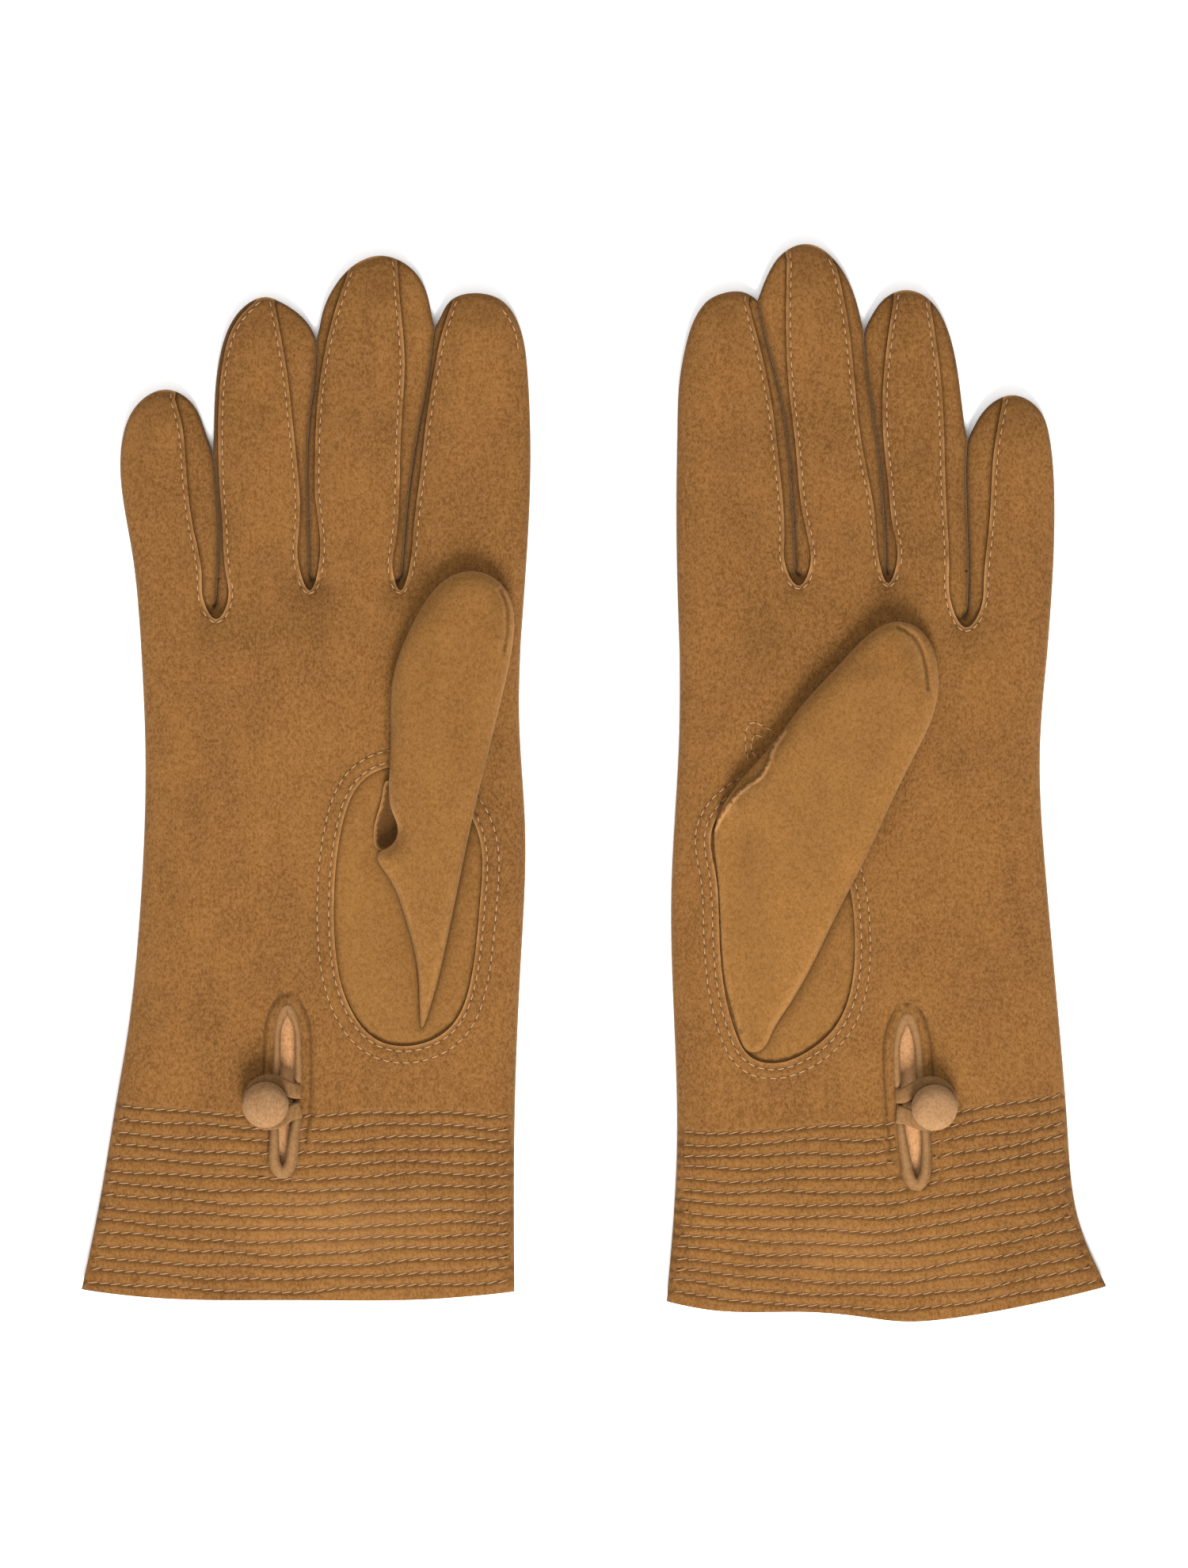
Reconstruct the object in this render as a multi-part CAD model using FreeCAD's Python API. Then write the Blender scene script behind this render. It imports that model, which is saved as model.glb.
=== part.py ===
import FreeCAD, Part
import math
import os

# A pair of unlined suede gloves with a slit, a loop and a covered button at the wrist.
# They lie side by side on their backs, palms up, with each thumb folded over its palm.
#
# Row frame, in millimetres: +X to the right-hand side of the pair as seen from above, +Y towards
# the fingertips, +Z up. The origin is the middle of the pair, on the surface that it lies on.
#
# Each glove is drawn in its own plan: across is measured from the glove's middle towards its
# index side, along from the hem towards the fingertips. side is +1 where the index side is at +X.

Vector = FreeCAD.Vector

# ---- driving dimensions ----
LEATHER = 0.8            # thickness of the skin
GLOVE_HEIGHT = 8.0       # a flat glove, from its back to its palm
EDGE_RADIUS = 2.9        # roundness of the folded and seamed edges
THUMB_GAP = 0.4          # between the palm and the thumb that lies on it
THUMB_HEIGHT = 7.0
RAMP_LENGTH = 44.0       # from the thumb's bending line down to the palm
JOINT_GAP = 0.25         # each side of a bending line
FACING_THICKNESS = 0.6
FACING_LENGTH = 39.0     # behind all the stitched rows of the cuff
BINDING_WIDTH = 2.1
BINDING_HEIGHT = 1.1
SLIT_WIDTH = 3.6
QUIRK_RADIUS = 2.4
SEAM_END = 0.86          # how far up a finger its fourchettes reach
SEAM_SHARES = (0.0, 0.3, 0.55, 0.75, SEAM_END)
INDEX_SIDE_WIDTH = 5.2   # of the fourchette seen on a finger's index side, at its root
LITTLE_SIDE_WIDTH = 3.0  # and on its little side
BUTTON_RADIUS = 5.25
BUTTON_EDGE = 1.4        # height of the rounded edge under the dome
BUTTON_DOME = 3.2        # height of the dome above its edge
BUTTON_LIFT = 1.9        # from the palm to the button's underside
BUTTON_COVER = 0.6
BUTTON_SHELL = 0.5
LOOP_GAP = 0.5           # between the loop and the button
LOOP_WIDTH = 2.0
LOOP_HEIGHT = 1.3
LOOP_LIFT = 1.35         # from the palm to the loop's underside
BACK_RADIUS = 3.65       # of the button's back plate
EYE_RADIUS = 1.6         # of the shank eye under the plate
EYE_LENGTH = 0.7
EYE_HOLE_RADIUS = 0.95
THREAD_RADIUS = 0.8
OVERRUN = 0.1            # of a cutting tool past the face that it cuts

PALM_TOP = GLOVE_HEIGHT
THUMB_BOTTOM = PALM_TOP + THUMB_GAP
THUMB_TOP = THUMB_BOTTOM + THUMB_HEIGHT
SHOULDER_WIDTH = 4.0     # of the straight start of the outer fingers, clear of the rounded edge
FINGERS = ("little", "ring", "middle", "index")

# Outlines hold only the points that a smooth curve through them needs. A finger's run from its
# little side, round the tip, to its index side. A thumb's are in its own plan: across its
# bending line towards the index side, and along it from that line.
RIGHT = {
    "name": "right", "side": 1, "middle_x": -61.8, "hem_y": -116.8,
    "little_edge": [(-56.2, 0.5), (-51.8, 22), (-48.5, 42), (-45.5, 60), (-42.7, 88),
                    (-41.5, 124), (-42.6, 150)],
    "index_edge": [(43.5, 0), (43.6, 42), (45.1, 78), (46.0, 106), (44.6, 132), (45.0, 150)],
    "hem": [(-56.2, 0.5), (-38, -1.5), (-8, -1.9), (27, -1.5), (43.5, 0)],
    "little": [(-42.6, 150), (-44.5, 169.5), (-46.8, 190), (-44.3, 202.5), (-36.5, 207.1),
               (-29.3, 201.5), (-25.9, 188), (-24.9, 171), (-26.1, 150)],
    "ring": [(-25.4, 150), (-24.2, 172), (-25.0, 195), (-22.8, 217), (-13.6, 228.2),
             (-4.7, 217), (-4.2, 200), (-4.4, 180), (-3.4, 150)],
    "middle": [(-2.8, 150), (-3.9, 180), (-3.5, 200), (-0.2, 222), (13.3, 238.2),
               (22.6, 222), (21.2, 200), (18.5, 180), (16.6, 150)],
    "index": [(17.3, 150), (19.0, 180), (21.9, 200), (26.1, 218.5), (35.5, 229.3),
              (44.5, 218.5), (46.5, 200), (46.2, 170), (45.0, 150)],
    "crotches": [(-25.5, 157.5), (-3.1, 163.5), (16.9, 163.5)],
    "bend_y": {"little": 163.5, "ring": 169.5, "middle": 169.5, "index": 170.5},
    "thumb_centre": (24.0, 100.0), "thumb_turn_deg": 9.1,
    "thumb": [(-9.7, -4), (-11.1, 13), (-13.2, 31), (-11.2, 50), (-5, 63.4), (0, 66.3),
              (6, 64.4), (10.4, 54), (11.1, 40), (9.6, 22), (8.2, 3), (8.0, -4)],
    "thumb_base": [(14.8, 102.5), (15.8, 95), (18.5, 86), (20.4, 74), (23.4, 62),
                   (26.0, 66), (29.1, 84), (32.2, 99.5)],
    "thumb_hole": [(14.5, 119.5), (5.5, 112.2), (1.6, 96), (4.0, 73), (12, 60.5), (23, 58.2),
                   (32.7, 66), (36.0, 84), (35.6, 104), (28, 116)],
    "thumb_quirk": (14.5, 107.5),
    "slit": (-8.5, 26.5, 68.0),
    "button": (-13.3, 43.5), "loop_root": -6.6,
}
LEFT = {
    "name": "left", "side": -1, "middle_x": 62.7, "hem_y": -120.1,
    "little_edge": [(-55.3, 4.5), (-49.1, 19), (-46.4, 40), (-44.5, 64), (-41.3, 100),
                    (-40.0, 127), (-41.7, 150)],
    "index_edge": [(46, 1), (43.6, 38), (44.2, 64), (44.9, 95), (43.1, 131), (43.0, 150)],
    "hem": [(-55.3, 4.5), (-35.5, 0), (-19, -2.9), (-8.2, -3.6), (1, -2.5), (14, -1.3),
            (35.5, -0.9), (46, 1)],
    "little": [(-41.7, 150), (-42.9, 167), (-43.3, 184), (-41.0, 201), (-32.7, 209.5),
               (-25.4, 202), (-23.8, 188), (-23.9, 170), (-23.0, 150)],
    "ring": [(-22.3, 150), (-23.2, 170), (-23.0, 190), (-21.8, 214), (-9.5, 233.3),
             (-1.9, 222), (-2.0, 206), (-4.5, 180), (-5.2, 150)],
    "middle": [(-4.5, 150), (-3.9, 180), (-1.1, 206), (2.0, 228), (13.6, 244.0), (21.7, 231),
               (19.9, 212), (16.5, 182), (15.1, 150)],
    "index": [(15.8, 150), (17.1, 182), (20.8, 212), (25.6, 228), (31.4, 233.5), (39.1, 227.3),
              (43.2, 208), (43.6, 180), (43.0, 150)],
    "crotches": [(-22.6, 158.5), (-4.9, 168.5), (15.5, 168.0)],
    "bend_y": {"little": 165.0, "ring": 175.5, "middle": 175.5, "index": 175.0},
    "thumb_centre": (21.7, 100.9), "thumb_turn_deg": -31.9,
    "thumb": [(-16.8, -4), (-15.8, 17.4), (-14, 41), (-9.5, 56), (-4.5, 61.6), (0.8, 63.4),
              (5.7, 61.8), (9.3, 56), (11.1, 43.4), (13.6, 27), (16.1, 13.5), (17.2, -4)],
    "thumb_base": [(35.7, 111.0), (35.0, 90), (31.6, 69.5), (25.3, 60.2), (20.3, 66),
                   (14.0, 78.5), (6.9, 93.0)],
    "thumb_hole": [(34.9, 109.1), (34.7, 82), (31.8, 67.3), (25.5, 57.8), (17.3, 58.2),
                   (8.2, 64.5), (2.8, 80), (3.4, 100), (12.0, 115), (26.0, 119)],
    "thumb_quirk": (14.8, 112.0),
    "slit": (-10.0, 27.5, 69.5),
    "button": (-15.1, 46.2), "loop_root": -8.1,
}


# ---- plan to row frame ----
def at(glove, across, along, z=0.0):
    """A point of the glove's plan, in the row frame."""
    return Vector(glove["middle_x"] + glove["side"] * across, glove["hem_y"] + along, z)


def from_thumb(glove, across, along):
    """A point of the thumb's plan, in the glove's plan."""
    turn = math.radians(glove["thumb_turn_deg"])
    centre_across, centre_along = glove["thumb_centre"]
    return (centre_across + across * math.cos(turn) + along * math.sin(turn),
            centre_along - across * math.sin(turn) + along * math.cos(turn))


# ---- plan curves ----
def curve(points):
    """A smooth curve through points of the row frame."""
    spline = Part.BSplineCurve()
    spline.interpolate(points)
    return spline


def inset(points, distance):
    """The points of a curve, each moved to the curve's inner side, which is to the right of a
    clockwise run and to the left of the other."""
    spline = curve(points)
    middle = sum(points, Vector()) * (1.0 / len(points))
    moved = []
    for point in points:
        along = spline.tangent(spline.parameter(point))[0]
        across = Vector(-along.y, along.x, 0)
        if across.dot(middle - point) < 0:
            across = across * -1
        moved.append(point + across.normalize() * distance)
    return moved


def face_inside(edges):
    """The flat face inside edges that join end to end."""
    return Part.Face(Part.Wire(Part.__sortEdges__(edges)))


def slab(face, low, high):
    """A flat face raised to a solid between two heights."""
    placed = face.copy()
    placed.translate(Vector(0, 0, low))
    return placed.extrude(Vector(0, 0, high - low))


def rounded(solid, radius, low, high):
    """solid with its curved edges at both heights rounded. Straight cut ends stay square."""
    def is_rim(edge):
        flat = abs(edge.BoundBox.ZMax - edge.BoundBox.ZMin) < 1e-6
        on_rim = min(abs(edge.BoundBox.ZMin - low), abs(edge.BoundBox.ZMin - high)) < 1e-6
        return flat and on_rim and not isinstance(edge.Curve, Part.Line)
    return solid.makeFillet(radius, [edge for edge in solid.Edges if is_rim(edge)])


def tongue(points, low, high, radius):
    """A finger-like solid: a smooth outline, closed by a straight line at its root."""
    outline = curve(points).toShape()
    root = Part.makeLine(points[-1], points[0])
    return rounded(slab(face_inside([outline, root]), low, high), radius, low, high)


def half_space(point, towards):
    """A large block that fills the side of a point that a direction names."""
    size = 400.0
    block = Part.makeBox(size, size, size, Vector(-size / 2, -size / 2, 0))
    block.Placement = FreeCAD.Placement(point, FreeCAD.Rotation(Vector(0, 0, 1), towards))
    return block


# ---- the palm ----
def palm_block(glove, wall, low, high):
    """The glove without its fingers: wall 0 is its outside, LEATHER its inside, which runs out
    through the hem."""
    little = [at(glove, *p) for p in glove["little_edge"]]
    index = [at(glove, *p) for p in glove["index_edge"]]
    hem = [at(glove, *p) for p in glove["hem"]]
    if wall:
        middle = at(glove, 0, 80)
        little = [p + Vector(math.copysign(wall, middle.x - p.x), 0, 0) for p in little]
        index = [p + Vector(math.copysign(wall, middle.x - p.x), 0, 0) for p in index]
        out = Vector(0, -12, 0)
        hem_edges = [Part.makeLine(little[0], little[0] + out),
                     Part.makeLine(little[0] + out, index[0] + out),
                     Part.makeLine(index[0] + out, index[0])]
    else:
        hem_edges = [curve(hem).toShape()]
    crotches = [at(glove, *p) - Vector(0, wall, 0) for p in glove["crotches"]]
    shoulder = Vector(glove["side"] * SHOULDER_WIDTH, 0, 0)
    roots = [little[-1], little[-1] + shoulder] + crotches + [index[-1] - shoulder, index[-1]]
    root_edges = [Part.makeLine(a, b) for a, b in zip(roots, roots[1:])]
    sides = [curve(little).toShape(), curve(index).toShape()]
    block = slab(face_inside(sides + hem_edges + root_edges), low, high)
    side_rims = [edge for edge in block.Edges
                 if edge.BoundBox.ZLength < 1e-6 and edge.BoundBox.YLength > 100]
    return block.makeFillet(EDGE_RADIUS - wall, side_rims)


def finger_blocks(glove, finger):
    """A whole finger's outside and inside, from its root in the palm to its tip."""
    points = [at(glove, *p) for p in glove[finger]]
    outside = tongue(points, 0, GLOVE_HEIGHT, EDGE_RADIUS)
    inner = inset(points, LEATHER)
    inward = Vector(glove["side"] * LEATHER, 0, 0)
    inner[0] = points[0] + inward
    inner[-1] = points[-1] - inward
    inside = tongue(inner, LEATHER, GLOVE_HEIGHT - LEATHER, EDGE_RADIUS - LEATHER)
    return outside, inside


def bend_plane(glove, finger):
    """A point on a finger's bending line."""
    return at(glove, 0, glove["bend_y"][finger])


def thumb_hole(glove, low, high):
    """The oval hole for the thumb in the palm's skin, as a solid to cut with."""
    points = [at(glove, *p) for p in glove["thumb_hole"]]
    spline = Part.BSplineCurve()
    spline.interpolate(Points=points, PeriodicFlag=True)
    return slab(face_inside([spline.toShape()]), low, high)


def stadium(glove, extra, low, high):
    """The wrist slit's outline, grown by extra on every side: two long sides and round ends."""
    across, start, end = glove["slit"]
    radius = SLIT_WIDTH / 2 + extra
    straight = end - start - SLIT_WIDTH
    centre = at(glove, across, start + SLIT_WIDTH / 2, low)
    ends = [Part.makeCylinder(radius, high - low, centre + Vector(0, y, 0))
            for y in (0, straight)]
    bar = Part.makeBox(2 * radius, straight, high - low, centre - Vector(radius, 0, 0))
    return bar.fuse(ends).removeSplitter()


def quirk(point, radius):
    """A finger quirk's outside: an upright round post at a crotch, between palm and back."""
    return Part.makeCylinder(radius, GLOVE_HEIGHT - 2 * LEATHER, point + Vector(0, 0, LEATHER))


def make_palm(glove, fingers):
    """The trank's palm and back in one shell, with a short root of each finger."""
    outside = palm_block(glove, 0, 0, GLOVE_HEIGHT)
    inside = palm_block(glove, LEATHER, LEATHER, GLOVE_HEIGHT - LEATHER)
    for finger in FINGERS:
        outer, inner = fingers[finger]
        cut = half_space(bend_plane(glove, finger) - Vector(0, JOINT_GAP, 0), Vector(0, -1, 0))
        outside = outside.fuse(outer.common(cut))
        inside = inside.fuse(inner)
    shell = outside.cut(inside)
    shell = shell.cut(thumb_hole(glove, PALM_TOP - 2 * LEATHER, PALM_TOP + 1))
    shell = shell.cut(stadium(glove, 0, PALM_TOP - 2 * LEATHER, PALM_TOP + 1))
    for crotch in glove["crotches"]:
        shell = shell.cut(quirk(at(glove, *crotch), QUIRK_RADIUS))
    return shell


def make_finger_quirks(glove):
    """Three small gussets, one at each crotch, as three hollow posts."""
    posts = []
    for crotch in glove["crotches"]:
        outer = quirk(at(glove, *crotch), QUIRK_RADIUS)
        posts.append(outer.cut(quirk(at(glove, *crotch), QUIRK_RADIUS - LEATHER)))
    return Part.Compound(posts)


def make_cuff_facing(glove):
    """The inner band behind the cuff's stitched rows, against the inside of the palm shell."""
    near = half_space(at(glove, 0, FACING_LENGTH), Vector(0, -1, 0))
    hem = palm_block(glove, 0, 0, GLOVE_HEIGHT)
    inside = palm_block(glove, LEATHER, LEATHER, GLOVE_HEIGHT - LEATHER)
    core = palm_block(glove, LEATHER + FACING_THICKNESS, LEATHER + FACING_THICKNESS,
                      GLOVE_HEIGHT - LEATHER - FACING_THICKNESS)
    band = inside.cut(core).common(near).common(hem)
    return band.cut(stadium(glove, 0, PALM_TOP - 3 * LEATHER, PALM_TOP))


# ---- the fingers ----
def seam_strip(glove, finger, towards_index):
    """The plan strip that a fourchette covers, on one side of a finger: widest at the finger's
    root and closing to a point near its tip."""
    points = [at(glove, *p) for p in glove[finger]]
    tip = max(points, key=lambda p: p.y)
    tip_at = points.index(tip)
    edge = points[tip_at:] if towards_index else points[:tip_at + 1][::-1]
    root_y, reach = edge[-1].y, tip.y - edge[-1].y
    width = INDEX_SIDE_WIDTH if towards_index else LITTLE_SIDE_WIDTH
    inward = glove["side"] * (-1 if towards_index else 1)
    seam = []
    for share in SEAM_SHARES:
        y = root_y + share * reach
        rim = curve(edge).toShape().distToShape(
            Part.makeLine(Vector(tip.x, y, 0), Vector(tip.x - inward * 60, y, 0)))[1][0][0]
        seam.append(Vector(rim.x + inward * width * (1 - (share / SEAM_END) ** 2), y, 0))
    outside = Vector(-inward * 30, 0, 0)
    corners = [seam[-1], seam[-1] + outside, seam[0] + outside, seam[0]]
    lines = [Part.makeLine(a, b) for a, b in zip(corners, corners[1:])]
    return slab(face_inside([curve(seam).toShape()] + lines), -1, GLOVE_HEIGHT + 1)


def fourchette_sides(finger):
    """A finger's sides that have a fourchette. The trank folds round the outer sides."""
    return {"little": [True], "ring": [False, True], "middle": [False, True],
            "index": [False]}[finger]


def make_finger(glove, finger, blocks):
    """A finger's sleeve, its two panels joined at the tip, and the fourchettes between them."""
    outer, inner = blocks
    keep = half_space(bend_plane(glove, finger) + Vector(0, JOINT_GAP, 0), Vector(0, 1, 0))
    sleeve = outer.cut(inner).common(keep)
    pieces = {}
    for towards_index in fourchette_sides(finger):
        strip = seam_strip(glove, finger, towards_index)
        edge_name = "index_side" if towards_index else "little_side"
        pieces[f"{finger}_fourchette_{edge_name}"] = sleeve.common(strip)
        sleeve = sleeve.cut(strip)
    pieces[f"{finger}_sleeve"] = sleeve
    return pieces


# ---- the thumb ----
def thumb_block(glove, wall):
    """The whole thumb lying on the palm: its outside, or its inside where wall is LEATHER."""
    points = [at(glove, *from_thumb(glove, *p)) for p in glove["thumb"]]
    low, high = THUMB_BOTTOM + wall, THUMB_TOP - wall
    if wall:
        root = at(glove, *from_thumb(glove, 0, -4))
        tip = at(glove, *from_thumb(glove, 0, 60))
        back = (root - tip).normalize() * 2 * wall
        points = inset(points, wall)
        points[0] += back
        points[-1] += back
    return tongue(points, low, high, EDGE_RADIUS - wall)


def thumb_direction(glove):
    """The way that the thumb points, from its bending line."""
    return (at(glove, *from_thumb(glove, 0, 1)) - at(glove, *glove["thumb_centre"])).normalize()


def make_thumb(glove):
    """The thumb's sleeve beyond its bending line."""
    ahead = thumb_direction(glove)
    keep = half_space(at(glove, *glove["thumb_centre"]) + ahead * JOINT_GAP, ahead)
    return thumb_block(glove, 0).cut(thumb_block(glove, LEATHER)).common(keep)


def thumb_ramp(glove, wall):
    """The thumb's base: it rises from the palm to the thumb's height at the bending line."""
    points = [at(glove, *p) for p in glove["thumb_base"]]
    low = PALM_TOP
    if wall:
        points = inset(points, wall)
        low = PALM_TOP - LEATHER
    outline = curve(points).toShape()
    root = Part.makeLine(points[-1], points[0])
    ramp = slab(face_inside([outline, root]), low, THUMB_TOP)
    ahead = thumb_direction(glove)
    hinge = at(glove, *glove["thumb_centre"], THUMB_TOP - wall)
    slope = Vector(0, 0, RAMP_LENGTH) - ahead * (THUMB_TOP - PALM_TOP)
    ramp = ramp.cut(half_space(hinge, slope))
    if not wall:
        ramp = ramp.cut(half_space(hinge - ahead * JOINT_GAP, ahead))
    return ramp


def make_thumb_base(glove):
    """The oval plate in the palm's skin and the ramp that leads up to the thumb."""
    plate = thumb_hole(glove, PALM_TOP - LEATHER, PALM_TOP)
    base = plate.fuse(thumb_ramp(glove, 0))
    opening = thumb_ramp(glove, LEATHER)
    mouth = at(glove, *glove["thumb_centre"], THUMB_BOTTOM + LEATHER)
    ahead = thumb_direction(glove)
    passage = thumb_block(glove, LEATHER).common(half_space(mouth - ahead * 3, ahead))
    base = base.cut(opening).cut(passage)
    return base.cut(thumb_quirk_block(glove))


def thumb_quirk_block(glove):
    """The thumb quirk's place: a small lens in the palm's skin at the thumb's crotch."""
    point = at(glove, *glove["thumb_quirk"], PALM_TOP - LEATHER)
    return Part.makeCylinder(QUIRK_RADIUS, LEATHER, point)


# ---- the wrist ----
def make_binding(glove):
    """The rolled strip around the wrist slit."""
    low, high = PALM_TOP, PALM_TOP + BINDING_HEIGHT
    ring = stadium(glove, BINDING_WIDTH, low, high)
    rims = [e for e in ring.Edges if abs(e.BoundBox.ZMin - high) < 1e-6
            and abs(e.BoundBox.ZMax - high) < 1e-6]
    return ring.makeFillet(BINDING_HEIGHT * 0.6, rims).cut(stadium(glove, 0, low, high))


def dome(glove, inset_by):
    """The covered button's outside, or a layer of it that many millimetres further in."""
    radius = BUTTON_RADIUS - inset_by
    low = PALM_TOP + BUTTON_LIFT + inset_by
    edge_high = PALM_TOP + BUTTON_LIFT + BUTTON_EDGE
    height = BUTTON_DOME - inset_by
    sphere_radius = (radius ** 2 + height ** 2) / (2 * height)
    centre = at(glove, *glove["button"])
    edge = Part.makeCylinder(radius, edge_high - low, centre + Vector(0, 0, low))
    sphere = Part.makeSphere(sphere_radius,
                             centre + Vector(0, 0, edge_high + height - sphere_radius))
    cap = sphere.common(half_space(centre + Vector(0, 0, edge_high), Vector(0, 0, 1)))
    return edge.fuse(cap)


def make_button(glove):
    """The button's cover, metal shell and back plate with its shank eye."""
    under = PALM_TOP + BUTTON_LIFT
    thickness = BUTTON_COVER + BUTTON_SHELL
    centre = at(glove, *glove["button"])
    foot = centre + Vector(0, 0, under)
    seat = Part.makeCylinder(BACK_RADIUS, thickness + OVERRUN, foot - Vector(0, 0, OVERRUN))
    cover = dome(glove, 0).cut(dome(glove, BUTTON_COVER)).cut(seat)
    core = dome(glove, BUTTON_COVER).cut(dome(glove, thickness)).cut(seat)
    plate = Part.makeCylinder(BACK_RADIUS, thickness, foot)
    eye = Part.makeCylinder(EYE_RADIUS, EYE_LENGTH, foot - Vector(0, 0, EYE_LENGTH))
    hole = Part.makeCylinder(EYE_HOLE_RADIUS, EYE_LENGTH, foot - Vector(0, 0, EYE_LENGTH))
    return {"button_cover": cover, "button_shell": core,
            "button_back": plate.fuse(eye).cut(hole)}


def make_button_thread(glove):
    """The sewn shank, from the palm's skin up into the button's eye."""
    return Part.makeCylinder(THREAD_RADIUS, BUTTON_LIFT, at(glove, *glove["button"], PALM_TOP))


def make_loop(glove):
    """The rolled strip round the button, with both ends at the slit's other side."""
    low = PALM_TOP + LOOP_LIFT
    inner = BUTTON_RADIUS + LOOP_GAP
    outer = inner + LOOP_WIDTH
    centre = at(glove, *glove["button"], low)
    reach = glove["side"] * (glove["loop_root"] - glove["button"][0])
    bend = Part.makeCylinder(outer, LOOP_HEIGHT, centre)
    bend = bend.cut(Part.makeCylinder(inner, LOOP_HEIGHT, centre))
    bend = bend.common(half_space(centre, Vector(-reach, 0, 0)))
    arms = [Part.makeBox(abs(reach), LOOP_WIDTH, LOOP_HEIGHT,
                         centre + Vector(min(reach, 0), start, 0))
            for start in (-outer, inner)]
    return bend.fuse(arms).removeSplitter()


# ---- assembly ----
def make_glove(glove):
    """Every piece of one glove, by name."""
    fingers = {finger: finger_blocks(glove, finger) for finger in FINGERS}
    pieces = {
        "palm_shell": make_palm(glove, fingers),
        "finger_quirks": make_finger_quirks(glove),
        "cuff_facing": make_cuff_facing(glove),
        "thumb_base": make_thumb_base(glove),
        "thumb_quirk": thumb_quirk_block(glove),
        "thumb_sleeve": make_thumb(glove),
        "slit_binding": make_binding(glove),
        "button_thread": make_button_thread(glove),
        "button_loop": make_loop(glove),
    }
    pieces.update(make_button(glove))
    for finger in FINGERS:
        pieces.update(make_finger(glove, finger, fingers[finger]))
    return {f"{glove['name']}_{name}": shape for name, shape in pieces.items()}


def main():
    os.makedirs("parts", exist_ok=True)
    pieces = {**make_glove(RIGHT), **make_glove(LEFT)}
    for name, shape in sorted(pieces.items()):
        shape.exportStep(f"parts/{name}.step")
        box = shape.BoundBox
        print(f"{name}: {len(shape.Solids)} solid, valid {shape.isValid()}, {shape.Volume:.0f} mm3, "
              f"x {box.XMin:.1f} {box.XMax:.1f} y {box.YMin:.1f} {box.YMax:.1f} "
              f"z {box.ZMin:.1f} {box.ZMax:.1f}")
    return pieces


main()
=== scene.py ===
import math

import bpy
import numpy as np
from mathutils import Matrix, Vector, noise
from mathutils.bvhtree import BVHTree
from mathutils.geometry import delaunay_2d_cdt
from mathutils.kdtree import KDTree


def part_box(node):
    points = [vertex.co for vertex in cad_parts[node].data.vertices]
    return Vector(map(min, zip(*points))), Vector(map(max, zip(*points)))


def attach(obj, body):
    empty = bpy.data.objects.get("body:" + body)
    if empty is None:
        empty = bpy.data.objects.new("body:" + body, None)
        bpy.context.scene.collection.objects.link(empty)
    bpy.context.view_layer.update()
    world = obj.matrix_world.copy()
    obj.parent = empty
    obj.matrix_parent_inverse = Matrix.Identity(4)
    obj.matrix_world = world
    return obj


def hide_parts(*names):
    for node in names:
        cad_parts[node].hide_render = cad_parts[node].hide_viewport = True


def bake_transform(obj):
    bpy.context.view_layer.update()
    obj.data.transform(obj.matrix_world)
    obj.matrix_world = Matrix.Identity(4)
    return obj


# A pair of tan suede gloves, palms up. Lengths are millimetres in the row frame until a mesh is
# made. Each glove is drawn in its own plan: across from its middle towards its index side, and
# along from the hem towards the fingertips. side is +1 where the index side is at +X.

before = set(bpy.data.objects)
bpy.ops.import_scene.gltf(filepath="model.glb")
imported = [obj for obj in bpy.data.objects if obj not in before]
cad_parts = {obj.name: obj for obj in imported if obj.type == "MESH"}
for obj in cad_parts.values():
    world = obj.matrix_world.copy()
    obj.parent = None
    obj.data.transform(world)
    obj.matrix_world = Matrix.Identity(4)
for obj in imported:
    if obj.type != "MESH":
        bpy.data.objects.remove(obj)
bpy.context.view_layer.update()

MM = 0.001
SKIN = 0.8               # thickness of the leather
RIM = 2.3                # height of the side folds and seams above the table
STEP = 0.75              # a panel's cut edge above the piece that it is sewn to
ROWS = 15                # stitched rows of the cuff
FINGER_BASE = 150        # where the finger outlines start, along the glove
SEAM_PITCH = 2.3         # from one stitch of a seam to the next
SEAM_STITCH = 1.6
HOLE_STITCH = 1.65       # a stitch beside the thumb hole
SEAM_THREAD = 0.16       # radius of a seam's stitch
ROW_PITCH = 2.6
ROW_STITCH = 2.7         # a stitch of the cuff's rows
ROW_THREAD = 0.2
ROW_SLANT = 0.22         # of a cuff stitch to its row, in radians
FACING_CELLS = 51        # each way, in the cuff facing's grid
FLOOR_HALF = 3.0         # metres
CAMERA_LENS, CAMERA_SENSOR = 120, 36
VIEW_HEIGHT = 0.3598     # metres of the gloves' plane that the camera sees, along
FOCUS_HEIGHT = 0.006     # metres of that plane above the floor
FINGERS = ("little", "ring", "middle", "index")

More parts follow.
